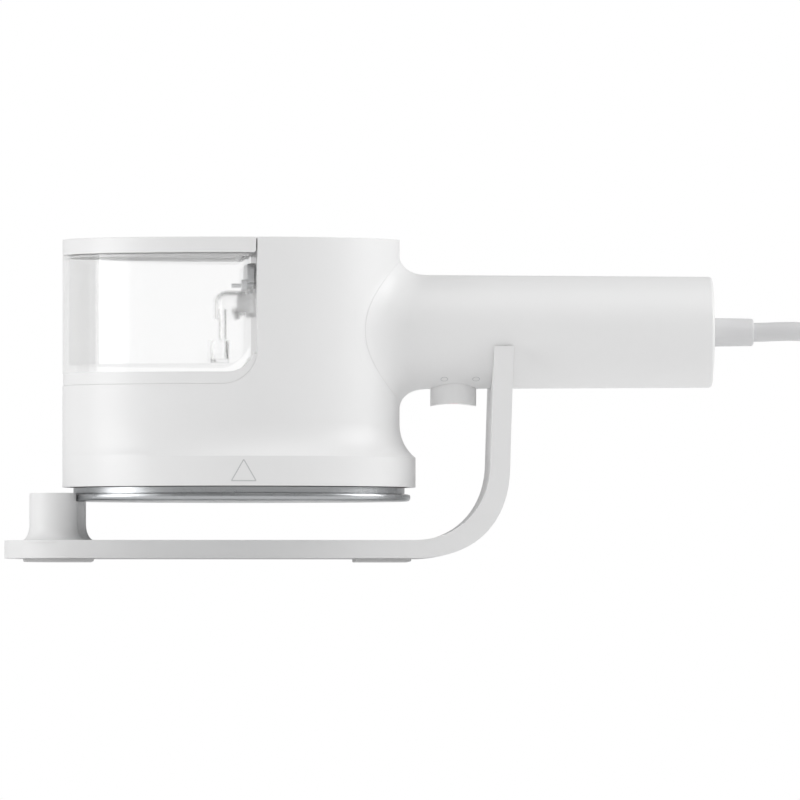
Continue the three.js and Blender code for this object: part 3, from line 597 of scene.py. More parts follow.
# ---- Stand ----
# One injection-moulded strip of white ABS bent into a J, with a round left end. A post on the left
# takes the tip of the steam plate and the notch at the top of the arm takes the handle.
STAND_LEFT = -149.85
STAND_HALF = 26
STAND_FOOT = 1.3
STAND_TOP = 8.5
ARM_TOP = 85.8
BEND_X = 12
BEND_Z = 41
ARM_LEAN = 1.4
POST_X = -130.3
POST_TOP = 27.3
LEDGE_TOP = 24
LOBE_R = 9.4
LOBE_Y = 12.5
LOBE_FLARE = 3.6
LOBE_RISE = 6.5
HANDLE_Z = 92
PLATE_X = -56.1
stand_white = moulded("moulded_white_abs_matt", "#eeeeee", 0.45, 0.7, 0.03)


def bend(ax, az, power, steps=40):
    """A squarish quarter bend from the flat base up to the arm."""
    points = []
    for t in ramp(steps):
        turn = t * math.pi / 2
        points.append((BEND_X + ax * math.sin(turn) ** (2 / power),
                       BEND_Z - az * abs(math.cos(turn)) ** (2 / power)))
    return points


def oval_ring(a, b, cx, z, sides=144):
    """An oval across Z, as points in millimetres."""
    return [(cx + a * math.cos(2 * math.pi * i / sides), b * math.sin(2 * math.pi * i / sides), z)
            for i in range(sides)]


outer_bend = bend(39.3, BEND_Z - STAND_FOOT, 2.4)
inner_bend = bend(31.5, BEND_Z - STAND_TOP, 2.2)[::-1]
strip_outline = (
    [(STAND_LEFT - 5, STAND_FOOT)] + outer_bend
    + [(outer_bend[-1][0] + ARM_LEAN, ARM_TOP), (inner_bend[0][0] + ARM_LEAN, ARM_TOP)]
    + inner_bend + [(STAND_LEFT - 5, STAND_TOP)]
)
stand = prism("stand_body", strip_outline, -STAND_HALF - 5, STAND_HALF + 5, up="Y")
plan_outline = [
    (STAND_LEFT + STAND_HALF - STAND_HALF * math.sin(t * math.pi), -STAND_HALF * math.cos(t * math.pi))
    for t in ramp(64)
] + [(80, STAND_HALF), (80, -STAND_HALF)]
combine(stand, prism("plan", plan_outline, -1, 100), "INTERSECT")

# The post: a rounded bar whose two ends are full rounds, with a concave foot.
post_rows = [(STAND_TOP - 1, LOBE_FLARE)]
post_rows += [(STAND_TOP + LOBE_RISE * (1 - math.cos(a)), LOBE_FLARE * (1 - math.sin(a)))
              for a in [math.pi / 2 * k / 12 for k in range(13)]]
post_rows += [(POST_TOP, 0)]


def racetrack(radius, half, z, steps=24):
    """A slot shape about the post's axis: two half rounds joined by straight sides."""
    ring = []
    for side in (1, -1):
        for i in range(steps + 1):
            a = math.pi * i / steps + (0 if side > 0 else math.pi)
            ring.append((POST_X + radius * math.cos(a), side * half + radius * math.sin(a), z))
    return ring


post = loft("post", [racetrack(LOBE_R + grown, LOBE_Y, z) for z, grown in post_rows])
TONGUE_RIGHT = -117.4
TONGUE_HALF = 9
TONGUE_CORNER = 2


def tongue_ring(grown, z, steps=8):
    """The ledge in front of the post, with round corners on its free side."""
    reach = TONGUE_CORNER + grown
    right = [(TONGUE_RIGHT - TONGUE_CORNER + reach * math.sin(a),
              TONGUE_HALF - TONGUE_CORNER + reach * math.cos(a), z)
             for a in [math.pi / 2 * k / steps for k in range(steps + 1)]]
    return [(POST_X, TONGUE_HALF + grown, z)] + right + [
        (x, -y, z) for x, y, z in reversed(right)] + [(POST_X, -TONGUE_HALF - grown, z)]


tongue_rows = [(min(z, LEDGE_TOP), grown) for z, grown in post_rows]
tongue = loft("tongue", [tongue_ring(grown, z) for z, grown in tongue_rows])
combine(post, tongue, "UNION")
NOTCH_A = 69.1
NOTCH_B = 48.6
CRADLE_R = 23.15
combine(post, loft("notch", [oval_ring(NOTCH_A, NOTCH_B, PLATE_X, z) for z in (LEDGE_TOP, POST_TOP + 1)]))
combine(stand, post, "UNION")
cradle = loft("cradle", [
    [(x, c, HANDLE_Z + s) for c, s in circle(CRADLE_R, 96)] for x in (30, 70)])
combine(stand, cradle)

# The two feet are pressed into shallow pockets under the stand.
FOOT_POCKET = 1.5
POCKET_GAP = 0.3
FOOT_R = 18.5
foot_shapes = {
    "foot_left": [(STAND_LEFT + STAND_HALF - FOOT_R * math.sin(math.pi * t), -FOOT_R * math.cos(math.pi * t))
                  for t in ramp(36)] + [(-114.5, FOOT_R), (-114.5, -FOOT_R)],
    "foot_right": [(-10.1, -20), (12, -20), (12, 20), (-10.1, 20)],
}
# Thermoplastic rubber, matt and nearly white, with a coarse spark-eroded grain.
foot_rubber = moulded("pale_thermoplastic_rubber", "#f0f0f0", 0.7, 0.8, 0.05)
for node, outline in foot_shapes.items():
    cx = sum(p[0] for p in outline) / len(outline)
    wider = []
    for x, y in outline:
        reach = math.hypot(x - cx, y)
        wider.append((x + (x - cx) / reach * 0.45, y + y / reach * 0.45))
    combine(stand, prism("pocket", wider, STAND_FOOT - 1, STAND_FOOT + FOOT_POCKET))
    pad = prism(node + "_pad", outline, 0.0, STAND_FOOT + FOOT_POCKET - POCKET_GAP)
    soften(pad, 0.5, 3)
    finish(pad, foot_rubber, "foot_rubber", node, body="stand")
soften(stand, 0.7, 3, 32)
finish(stand, stand_white, "stand_abs", "stand_frame", body="stand")

# ---- Steam plate ----
# A pressed and turned stainless steel plate with a rounded lip, a fine groove and an upper band that
# closes the boiler. Steam leaves through a ring of drilled holes.
LIP_A = 68.5
LIP_B = 48
PLATE_ROWS = [  # height, inset from the lip
    (24.2, 1.3), (24.35, 0.7), (24.7, 0.25), (25.2, 0.0), (26.3, 0.0), (26.7, 0.2), (26.9, 0.8),
    (26.9, 3.4), (27.3, 3.4), (27.3, 2.3), (27.5, 2.3), (29.5, 2.3),
]
# Stainless steel, satin polished round the rim: a soft grey mirror with fine drawn lines.
steel = worked_metal("satin_stainless_steel", "#b9bbbd", 0.3, 0.35, 0.012, (1, 1, 6))
CHAMBER_A = 56
CHAMBER_B = 36
CHAMBER_FLOOR = 26.6
steam_plate = loft("soleplate", [
    oval_ring(LIP_A - inset, LIP_B - inset, PLATE_X, z) for z, inset in PLATE_ROWS])
combine(steam_plate, loft("chamber", [
    oval_ring(CHAMBER_A, CHAMBER_B, PLATE_X, z, 72) for z in (CHAMBER_FLOOR, 31)]))

hole_sizes = {"Ring half length": 44, "Ring half depth": 27, "Ring centre": PLATE_X, "Hole radius": 1.6,
              "Height": 25.5}
hole_tree, given = start_tree("steam_holes", hole_sizes, ("Holes", "Int", 12))
ring = add(hole_tree, "GeometryNodeMeshCircle", {"Vertices": given.outputs["Holes"], "Radius": 1.0})
shift = add(hole_tree, "ShaderNodeCombineXYZ",
            {"X": given.outputs["Ring centre"], "Z": given.outputs["Height"]})
stretch = add(hole_tree, "ShaderNodeCombineXYZ", {
    "X": given.outputs["Ring half length"], "Y": given.outputs["Ring half depth"], "Z": 1.0})
turned_ring = add(hole_tree, "GeometryNodeTransform", {
    "Geometry": ring.outputs[0], "Rotation": (0, 0, math.pi / 12)})
placed_ring = add(hole_tree, "GeometryNodeTransform", {
    "Geometry": turned_ring.outputs[0], "Translation": shift.outputs[0], "Scale": stretch.outputs[0]})
drill = add(hole_tree, "GeometryNodeMeshCylinder", {
    "Vertices": 20, "Radius": given.outputs["Hole radius"], "Depth": 6 * MM})
drills = add(hole_tree, "GeometryNodeInstanceOnPoints", {
    "Points": placed_ring.outputs[0], "Instance": drill.outputs["Mesh"]})
real_drills = add(hole_tree, "GeometryNodeRealizeInstances", {"Geometry": drills.outputs[0]})
drilled = add(hole_tree, "GeometryNodeMeshBoolean", {
    "Mesh 1": given.outputs["Geometry"], "Mesh 2": real_drills.outputs[0]}, operation="DIFFERENCE")
drilled.solver = "MANIFOLD"
end_tree(hole_tree, drilled.outputs[0], given)
grow(steam_plate, hole_tree, Material=steel)
shade(steam_plate, 32)
finish(steam_plate, steel, "plate_steel", "steam_plate")

# ---- Boiler ----
# A die-cast aluminium boiler with a cast-in tubular heater, a thermostat and a thermal fuse. Four
# screws hold it up into bosses of the head and its shelf, and silicone seals it to the skirt.
cast_aluminium = worked_metal("die_cast_aluminium", "#b6b8ba", 0.5, 0.9, 0.05)
zinc_steel = worked_metal("zinc_plated_steel", "#c4c6c9", 0.32, 0.3, 0.01)
black_resin = moulded("black_pbt_resin", "#202124", 0.45, 0.6, 0.03)
heat_resin = moulded("glass_filled_nylon", "#2e2f31", 0.62, 0.5, 0.05)
red_silicone = moulded("red_silicone_rubber", "#b23c2a", 0.6, 0.9, 0.03)
grey_silicone = moulded("grey_silicone_rubber", "#5c5f63", 0.6, 0.9, 0.03)
dress(cast_aluminium, "boiler_casting", "boiler_cover")
dress(steel, "heater_element")
dress(brass, "boiler_inlet", "thermal_fuse")
dress(black_resin, "thermostat")
dress(red_silicone, "heat_seal")

# Pan-head screws with a cross recess, set by a tree on points.
screw_sizes = {"Head radius": 2.8, "Head height": 1.8, "Shank radius": 1.5, "Shank length": 20,
               "Recess": 1.7, "Recess width": 0.55}
screw_tree, given = start_tree("pan_head_screws", screw_sizes, ("Turn", "Vector", None))


def lifted(tree, mesh, depth, sign):
    """Moves a part along Z by half of its own length, so that it starts at the head's face."""
    half = add(tree, "ShaderNodeMath", {0: depth, 1: 0.5 * sign}, operation="MULTIPLY")
    offset = add(tree, "ShaderNodeCombineXYZ", {"Z": half.outputs[0]})
    return add(tree, "GeometryNodeTransform", {"Geometry": mesh, "Translation": offset.outputs[0]}).outputs[0]


head_disc = add(screw_tree, "GeometryNodeMeshCylinder", {
    "Vertices": 28, "Side Segments": 4, "Radius": given.outputs["Head radius"],
    "Depth": given.outputs["Head height"]})
head_place = add(screw_tree, "GeometryNodeInputPosition")
head_axes = add(screw_tree, "ShaderNodeSeparateXYZ", {0: head_place.outputs[0]})
head_share = add(screw_tree, "ShaderNodeMath", {
    0: head_axes.outputs["Z"], 1: given.outputs["Head height"]}, operation="DIVIDE")
head_drop = add(screw_tree, "ShaderNodeMapRange",
                {0: head_share.outputs[0], 1: 0.0, 2: -0.5, 3: 1.0, 4: 0.72},
                interpolation_type="SMOOTHSTEP")
head_spread = add(screw_tree, "ShaderNodeCombineXYZ", {
    "X": head_drop.outputs[0], "Y": head_drop.outputs[0], "Z": 1.0})
head_round = add(screw_tree, "ShaderNodeVectorMath", {
    0: head_place.outputs[0], 1: head_spread.outputs[0]}, operation="MULTIPLY")
domed = add(screw_tree, "GeometryNodeSetPosition", {
    "Geometry": head_disc.outputs["Mesh"], "Position": head_round.outputs[0]})
head_part = lifted(screw_tree, domed.outputs[0], given.outputs["Head height"], 1)
shank = add(screw_tree, "GeometryNodeMeshCylinder", {
    "Vertices": 20, "Radius": given.outputs["Shank radius"], "Depth": given.outputs["Shank length"]})
shank_part = lifted(screw_tree, shank.outputs["Mesh"], given.outputs["Shank length"], 1)
whole = add(screw_tree, "GeometryNodeMeshBoolean", {"Mesh 2": head_part}, operation="UNION")
whole.solver = "MANIFOLD"
screw_tree.links.new(shank_part, whole.inputs["Mesh 2"])
arm_wide = add(screw_tree, "ShaderNodeCombineXYZ", {
    "X": given.outputs["Recess"], "Y": given.outputs["Recess width"], "Z": 2.0 * MM})
arm_deep = add(screw_tree, "ShaderNodeCombineXYZ", {
    "X": given.outputs["Recess width"], "Y": given.outputs["Recess"], "Z": 2.0 * MM})
bar_one = add(screw_tree, "GeometryNodeMeshCube", {"Size": arm_wide.outputs[0]})
bar_two = add(screw_tree, "GeometryNodeMeshCube", {"Size": arm_deep.outputs[0]})
recessed = add(screw_tree, "GeometryNodeMeshBoolean", {
    "Mesh 1": whole.outputs[0], "Mesh 2": bar_one.outputs["Mesh"]}, operation="DIFFERENCE")
recessed.solver = "MANIFOLD"
screw_tree.links.new(bar_two.outputs["Mesh"], recessed.inputs["Mesh 2"])
turn = add(screw_tree, "FunctionNodeEulerToRotation", {0: given.outputs["Turn"]})
screws = add(screw_tree, "GeometryNodeInstanceOnPoints", {
    "Points": given.outputs["Geometry"], "Instance": recessed.outputs[0], "Rotation": turn.outputs[0]})
end_tree(screw_tree, screws.outputs[0], given)

SCREW_X = 36.4
SCREW_Y = 23.5
SCREW_HEAD_Z = 34.6
boiler_screws = new_object("boiler_screws", [
    Vector((PLATE_X + sx * SCREW_X, sy * SCREW_Y, SCREW_HEAD_Z)) * MM
    for sx in (-1, 1) for sy in (-1, 1)], [])
grow(boiler_screws, screw_tree, Shank_length=22.4 * MM, Material=zinc_steel)
shade(boiler_screws, 40)
finish(boiler_screws, zinc_steel, "screw_steel", *[f"boiler_screw_{i}" for i in (1, 2, 3, 4)])

# ---- Head housing ----
# The upright oval body: injection-moulded white ABS with a fine satin grain. It flares out to a
# skirt round the steam plate, and its left side is cut away into a bay for the tank. A low collar
# on the right runs out into the handle.
HEAD_LEFT = -126.7
BODY_A = 67.4
BODY_B = 45
SKIRT_A = 70.6
SKIRT_B = 50
HEAD_TOP = 128.7
FLARE_TOP = 55
SKIRT_TOP = 41.6
SKIRT_BOTTOM = 29.8
WALL = 2.5
BAY_RIGHT = -50.1
BAY_FLOOR = 70.3
BAY_RADIUS = 14
PORT_Z = 103.4
HORN_LENGTH = 12
HORN_RADIUS = 31.5
HORN_POWER = 2.35
SEAM_RADIUS = 28.5
SEAM_GAP = 0.07
BOSS_R = 4
BOSS_BOTTOM = 46.6
BORE_R = 1.8
NECK_HOLE = 19.5
HANDLE_R0 = 22.8
HANDLE_R1 = 22.2
satin_white = moulded("moulded_white_abs_satin", "#f1f1f1", 0.36, 0.6, 0.02)


def head_half(z):
    """Half length and half depth of the head at a height."""
    t = min(max((FLARE_TOP - z) / (FLARE_TOP - SKIRT_TOP), 0), 1)
    share = (1 - math.sqrt(1 - (0.8 * t) ** 2)) / (1 - math.sqrt(1 - 0.64))
    return BODY_A + (SKIRT_A - BODY_A) * share, BODY_B + (SKIRT_B - BODY_B) * share


def head_ring(z, inset=0):
    a, b = head_half(z)
    return oval_ring(a - inset, b - inset, HEAD_LEFT + a, z)


def head_form(name, low, high, inset=0):
    """The head's outer form, inset evenly, between two heights."""
    levels = [low, SKIRT_TOP]
    levels += [SKIRT_TOP + (FLARE_TOP - SKIRT_TOP) * t for t in ramp(12)] + [high]
    levels = sorted({round(z, 4) for z in levels if low <= z <= high})
    return loft(name, [head_ring(z, inset) for z in levels])


def corner(name, x, z, radius, reach=60):
    """Everything left of x and above z, with a round inner corner."""
    arc = [(x - radius + radius * math.sin(t * math.pi / 2), z + radius - radius * math.cos(t * math.pi / 2))
           for t in ramp(16)]
    return prism(name, [(-200, z), *arc, (x, 200), (-200, 200)], -reach, reach, up="Y")


def rod(name, start, end, radius, sides=32):
    """A plain round bar between two points on one axis, for cutting and joining."""
    start, end = Vector(start), Vector(end)
    along = (end - start).normalized()
    side = along.orthogonal().normalized()
    other = along.cross(side)
    return loft(name, [[p + side * c + other * s for c, s in circle(radius, sides)] for p in (start, end)])


def body_surface(y):
    """X of the upright body on the handle side, at a depth."""
    return HEAD_LEFT + BODY_A + BODY_A * math.sqrt(1 - (y / BODY_B) ** 2)


def turned(name, rows, sides=96):
    """Rings round the handle's axis. A row is (radius, "x", x), or (radius, "d", distance) for one that
    keeps that distance from the head's oval side."""
    rings = []
    for radius, kind, value in rows:
        ring = []
        for i in range(sides):
            a = 2 * math.pi * i / sides
            y = radius * math.sin(a)
            x = value if kind == "x" else body_surface(y) + value
            ring.append((x, y, HANDLE_Z + radius * math.cos(a)))
        rings.append(ring)
    return loft(name, rings, closed=True)


def horn_row(turn):
    """Radius and distance from the head of the handle's flare."""
    return (
        HORN_RADIUS - (HORN_RADIUS - HANDLE_R0) * math.sin(turn) ** (2 / HORN_POWER),
        HORN_LENGTH * (1 - abs(math.cos(turn)) ** (2 / HORN_POWER)),
    )


seam_turn = math.asin(((HORN_RADIUS - SEAM_RADIUS) / (HORN_RADIUS - HANDLE_R0)) ** (HORN_POWER / 2))

housing = head_form("head_shell", SKIRT_BOTTOM, HEAD_TOP)
combine(housing, corner("bay", BAY_RIGHT, BAY_FLOOR, BAY_RADIUS))
hollow = head_form("hollow", SKIRT_BOTTOM - 5, HEAD_TOP - WALL, WALL)
combine(hollow, corner("bay_wall", BAY_RIGHT + WALL, BAY_FLOOR - WALL, BAY_RADIUS + WALL))
combine(housing, hollow)
for x, y in ((PLATE_X - SCREW_X, -SCREW_Y), (PLATE_X - SCREW_X, SCREW_Y)):
    combine(housing, rod("boss", (x, y, BOSS_BOTTOM), (x, y, BAY_FLOOR - 1), BOSS_R), "UNION")
    combine(housing, rod("bore", (x, y, 40), (x, y, 60), BORE_R))
combine(housing, rod("neck_hole", (-20, 0, HANDLE_Z), (20, 0, HANDLE_Z), NECK_HOLE, 64))
combine(housing, rod("port_hole", (BAY_RIGHT - 2, 0, PORT_Z), (BAY_RIGHT + 5, 0, PORT_Z), 3.9))
soften(housing, 0.5, 3, 30)

collar_rows = [(HORN_RADIUS + 1.6, "d", -0.12), (HORN_RADIUS + 0.6, "d", -0.015)]
for t in ramp(12)[1:]:
    radius, out = horn_row(seam_turn * t)
    collar_rows.append((radius, "d", out))
collar_rows[-1] = (SEAM_RADIUS + SEAM_GAP / 2 + 0.06, "d", collar_rows[-1][2])
collar_rows += [
    (SEAM_RADIUS + SEAM_GAP / 2, "d", collar_rows[-1][2] - 0.06),
    (SEAM_RADIUS + SEAM_GAP / 2, "d", -1), (HORN_RADIUS + 1.6, "d", -1),
]
collar = turned("collar", collar_rows)
shade(collar, 50)
merge(housing, collar)
finish(housing, satin_white, "white_abs", "head_housing")

# A small generic triangle on the skirt, in pad-printing ink: a thin flat film of light grey, duller
# than the plastic round it.
mark_ink = moulded("grey_pad_print_ink", "#cbcccd", 0.6, 0.3, 0.01)
MARK_X = -55.7
MARK_LOW = 31.5
MARK_HIGH = 40.6
MARK_LINE = 0.42


def skirt_point(x, z, lift=0.06):
    """A point on the near side of the skirt."""
    share = (x - (HEAD_LEFT + SKIRT_A)) / SKIRT_A
    return (x, -(SKIRT_B * math.sqrt(1 - share * share) + lift), z)


def triangle(size, corner_radius, steps=6):
    """A triangle with round corners about the origin, as (across, up) points."""
    points = []
    for k in range(3):
        a = math.pi / 2 + k * 2 * math.pi / 3
        inner = size - 2 * corner_radius
        for i in range(steps + 1):
            b = a - math.pi / 3 + 2 * math.pi / 3 * i / steps
            points.append((inner * math.cos(a) + corner_radius * math.cos(b),
                           inner * math.sin(a) + corner_radius * math.sin(b)))
    # The long sides are divided, so that they lie on the curved skirt.
    fine = []
    for here, there in zip(points, points[1:] + points[:1]):
        fine += [(here[0] + (there[0] - here[0]) * t, here[1] + (there[1] - here[1]) * t)
                 for t in ramp(12)[:-1]]
    return fine


mark_size = (MARK_HIGH - MARK_LOW) / 1.5
mark_middle = MARK_LOW + mark_size / 2
outside = triangle(mark_size, 0.35)
inside = triangle(mark_size - 2 * MARK_LINE, 0.15)
mark_rings = []
for lift in (0.0, 0.06):
    mark_rings.append([skirt_point(MARK_X + x, mark_middle + z, lift) for x, z in outside])
mark_rings.append([skirt_point(MARK_X + x, mark_middle + z, 0.06) for x, z in inside])
mark_rings.append([skirt_point(MARK_X + x, mark_middle + z, 0.0) for x, z in inside])
mark = loft("skirt_mark", mark_rings, closed=True)
finish(mark, mark_ink, "white_abs")

# ---- Shelf and water path inside the head ----
# A glass-filled nylon shelf carries a small pump in a rubber mount; silicone hoses join it to the
# tank's spigot and to the boiler.
dress(heat_resin, "chassis_plate")
dress(grey_silicone, "inlet_hose", "feed_hose")
dress(black_resin, "pump")
dress(foot_rubber, "pump_mount")

# ---- Tank cradle ----
# A separate white tray between the housing and the tank; its rounded corner guides the tank home.
TANK_RIGHT = -50.6
TANK_BOTTOM = 75.2
TANK_RADIUS = 11.6
TANK_TOP = 122.2
GAP = 0.3
TRAY_INSET = 0.25
TRAY_GAP = 0.05  # the tray is pressed in, so its joint is a hair line
cradle_tray = corner("cradle_tray", BAY_RIGHT - TRAY_GAP, BAY_FLOOR + TRAY_GAP, BAY_RADIUS - TRAY_GAP)
combine(cradle_tray, corner("over", TANK_RIGHT + TRAY_GAP, TANK_BOTTOM - TRAY_GAP, TANK_RADIUS + TRAY_GAP))
combine(cradle_tray, head_form("limit", 60, 100, TRAY_INSET), "INTERSECT")
TRAY_RIM = 7
tray_limit = prism("limit", [(-200, -60), (0, -60), (0, 60), (-200, 60)], 60, TANK_BOTTOM + TRAY_RIM)
combine(cradle_tray, tray_limit, "INTERSECT")
soften(cradle_tray, 0.25, 2, 40)
finish(cradle_tray, satin_white, "white_abs", "tank_cradle")

# ---- Water tank ----
# Clear SAN, injection moulded and polished inside and out, 2.5 mm thick, with a moulded-in boss and
# two gussets round the suction filter. A white ABS lid closes it over a silicone seal.
FILL_HALF = 20
FILL_R = 4.4
FILL_Z = 114.2
VENT_Y = -31
VENT_Z = 109.6
PORT_R = 6
VENT_HOLE = 1.3
GUSSETS = ((-71.3, -67.9), (-59.6, -56.9))  # left and right side of each
GUSSET_TOP = 84.8
GUSSET_HALF = 0.6
tank_floor = TANK_BOTTOM + WALL + 0.8
# Part of the light goes straight through the polished walls and lights the pieces inside the tank.
CLEAR_SHARE = 0.75
clear_san, tree = blank("clear_polished_san")
place = add(tree, "ShaderNodeTexCoord")
ripple = add(tree, "ShaderNodeTexNoise",
             {"Vector": place.outputs["Object"], "Scale": 1 / (18 * MM), "Detail": 1.0})
flow = add(tree, "ShaderNodeBump", {"Height": ripple.outputs[0], "Strength": 0.1, "Distance": 0.05 * MM})
san = add(tree, "ShaderNodeBsdfPrincipled", {
    "Base Color": linear("#ffffff"), "Roughness": 0.03, "IOR": 1.49, "Transmission Weight": 1.0,
    "Normal": flow.outputs[0]})
thin = add(tree, "ShaderNodeBsdfTransparent", {"Color": linear("#fefefe")})
wall_mix = add(tree, "ShaderNodeMixShader", {0: CLEAR_SHARE, 1: san.outputs[0], 2: thin.outputs[0]})
add(tree, "ShaderNodeOutputMaterial", {"Surface": wall_mix.outputs[0]})

tank = head_form("tank_shell", 60, TANK_TOP)
combine(tank, corner("outer", TANK_RIGHT, TANK_BOTTOM, TANK_RADIUS), "INTERSECT")
tank_inner = head_form("tank_inner", 60, TANK_TOP + 5, WALL)
combine(tank_inner, corner("inner", TANK_RIGHT - WALL, tank_floor, TANK_RADIUS - WALL), "INTERSECT")
combine(tank, tank_inner)
combine(tank, rod("port", (-60, 0, PORT_Z), (-40, 0, PORT_Z), PORT_R))
combine(tank, rod("vent", (-54, VENT_Y, VENT_Z), (-50, VENT_Y, VENT_Z), VENT_HOLE))


def fill_form(name, radius, left, right):
    """The flat-sided filling slot."""
    outline = []
    for side in (1, -1):
        for i in range(25):
            a = math.pi * i / 24 + (0 if side > 0 else math.pi)
            outline.append((side * FILL_HALF + radius * math.sin(a), FILL_Z - radius * math.cos(a)))
    return loft(name, [[(x, y, z) for y, z in outline] for x in (left, right)])


combine(tank, fill_form("fill", FILL_R + GAP, -60, -40))
for left, right in GUSSETS:
    gusset_foot = [(left, tank_floor - 1), (right, tank_floor - 1)]
    gusset_head = [(right, GUSSET_TOP), (left, GUSSET_TOP)]
    combine(tank, prism("gusset", gusset_foot + gusset_head, -GUSSET_HALF, GUSSET_HALF, up="Y"), "UNION")
soften(tank, 0.4, 2, 40)
finish(tank, clear_san, "clear_san", "water_tank", body="tank")

# The lid: a thick white ABS cap with a low lip that goes down inside the tank's walls.
LIP_NEAR = WALL + 1.7
LIP_FAR = WALL + 3.7
LIP_DROP = 0.8
LIP_CORNER = 0.8
lid = head_form("lid", 60, HEAD_TOP)
combine(lid, corner("lid_side", TANK_RIGHT, TANK_TOP + GAP, 1), "INTERSECT")
lip = head_form("lip", 60, TANK_TOP + 1, LIP_NEAR)
combine(lip, corner("lip_side", TANK_RIGHT - LIP_NEAR, TANK_TOP - LIP_DROP, LIP_CORNER), "INTERSECT")
lip_hole = head_form("lip_hole", 60, TANK_TOP + 5, LIP_FAR)
combine(lip_hole, corner("lip_hole_side", TANK_RIGHT - LIP_FAR, 100, LIP_CORNER), "INTERSECT")
combine(lip, lip_hole)
combine(lid, lip, "UNION")
soften(lid, 0.6, 3, 30)
finish(lid, satin_white, "white_abs", "tank_lid", body="tank")

# The filling plug, vent, seal and outlet ring are moulded in pale silicone. The suction hood and its
# cup are clear too, with a dip tube between them.
pale_silicone = moulded("pale_grey_silicone", "#e4e5e6", 0.5, 0.9, 0.02)
milky_silicone = moulded("milky_silicone", "#e2e2e2", 0.5, 0.9, 0.02)
dress(pale_silicone, "fill_plug")
dress(milky_silicone, "lid_seal")

vent = rod("vent_plug", (-60.1, VENT_Y, VENT_Z), (-56, VENT_Y, VENT_Z), 0.8)
combine(vent, rod("flange", (-56.2, VENT_Y, VENT_Z), (-53.8, VENT_Y, VENT_Z), 2.4), "UNION")
combine(vent, rod("shank", (-54, VENT_Y, VENT_Z), (-51.4, VENT_Y, VENT_Z), 1.0), "UNION")
soften(vent, 0.25, 2)
finish(vent, pale_silicone, "grey_silicone", "vent_valve", body="tank")

# Clarified polypropylene, injection moulded: clear, with a slight haze.
clear_pp, tree = blank("clarified_polypropylene")
place = add(tree, "ShaderNodeTexCoord")
haze = add(tree, "ShaderNodeTexNoise",
           {"Vector": place.outputs["Object"], "Scale": 1 / (6 * MM), "Detail": 2.0})
haze_range = add(tree, "ShaderNodeMapRange", {0: haze.outputs[0], 1: 0.3, 2: 0.7, 3: 0.08, 4: 0.2})
pp = add(tree, "ShaderNodeBsdfPrincipled", {
    "Base Color": linear("#ffffff"), "Roughness": haze_range.outputs[0], "IOR": 1.42,
    "Transmission Weight": 1.0})
add(tree, "ShaderNodeOutputMaterial", {"Surface": pp.outputs[0]})

# Natural silicone, milky, with a faint emission that is painted light: it brightens the outlet seal and
# spigot, which sit in shade inside the tank.
SILICONE_PAINTED_LIGHT = 0.1
silicone_painted_glow, tree = blank("silicone_painted_glow")
place = add(tree, "ShaderNodeTexCoord")
cloud = add(tree, "ShaderNodeTexNoise",
            {"Vector": place.outputs["Object"], "Scale": 1 / (4 * MM), "Detail": 2.0})
cloud_range = add(tree, "ShaderNodeMapRange", {0: cloud.outputs[0], 1: 0.3, 2: 0.7, 3: 0.35, 4: 0.5})
silicone = add(tree, "ShaderNodeBsdfPrincipled", {
    "Base Color": linear("#f2f2f2"), "Roughness": cloud_range.outputs[0], "IOR": 1.41,
    "Transmission Weight": 0.3, "Emission Color": linear("#ffffff"), "Emission Strength": SILICONE_PAINTED_LIGHT})
add(tree, "ShaderNodeOutputMaterial", {"Surface": silicone.outputs[0]})
dress(silicone_painted_glow, "outlet_seal", "inlet_spigot")

HOOD_X = -60.8
HOOD_R = 5.0
HOOD_WALL = 1.1
HOOD_LOW = 97


def ball(name, centre, radius, rows=16, sides=32):
    rings = []
    for k in range(rows + 1):
        a = math.pi * (0.02 + 0.96 * k / rows)
        rings.append([(centre[0] + radius * math.sin(a) * c, centre[1] + radius * math.sin(a) * s,
                       centre[2] + radius * math.cos(a)) for c, s in circle(1, sides)])
    return loft(name, rings)


def elbow(name, radius, low, right):
    """A bent tube: a standing part, a ball at the turn and a part that runs to the wall."""
    item = rod(name, (HOOD_X, 0, low), (HOOD_X, 0, PORT_Z), radius, 48)
    combine(item, ball("turn", (HOOD_X, 0, PORT_Z), radius, 24, 48), "UNION")
    return combine(item, rod("arm", (HOOD_X, 0, PORT_Z), (right, 0, PORT_Z), radius, 48), "UNION")


hood = elbow("suction_hood", HOOD_R, HOOD_LOW, -53.8)
combine(hood, elbow("hood_inside", HOOD_R - HOOD_WALL, HOOD_LOW - 7, -50))
soften(hood, 0.2, 2)
finish(hood, clear_pp, "white_abs", "suction_elbow", body="tank")

# A thin dip tube and the round cup that stands on the tank's floor.
TUBE_X = -62.6
TUBE_R = 1.6
TUBE_BORE = 0.9
tube_piece = rod("dip_tube", (TUBE_X, 0, 88.8), (TUBE_X, 0, 101), TUBE_R, 24)
combine(tube_piece, rod("dip_bore", (TUBE_X, 0, 80), (TUBE_X, 0, 110), TUBE_BORE, 24))
shade(tube_piece)
finish(tube_piece, clear_pp, "clear_san", "intake_tube", body="tank")
CUP_X = -63.8
CUP_R = 3.7
CUP_BORE = 2.7
cup = rod("suction_cup", (CUP_X, 0, 79.7), (CUP_X, 0, 88.4), CUP_R, 48)
combine(cup, rod("cup_bore", (CUP_X, 0, 81), (CUP_X, 0, 100), CUP_BORE, 48))
soften(cup, 0.25, 2)
finish(cup, clear_pp, "grey_silicone", "intake_filter", body="tank")

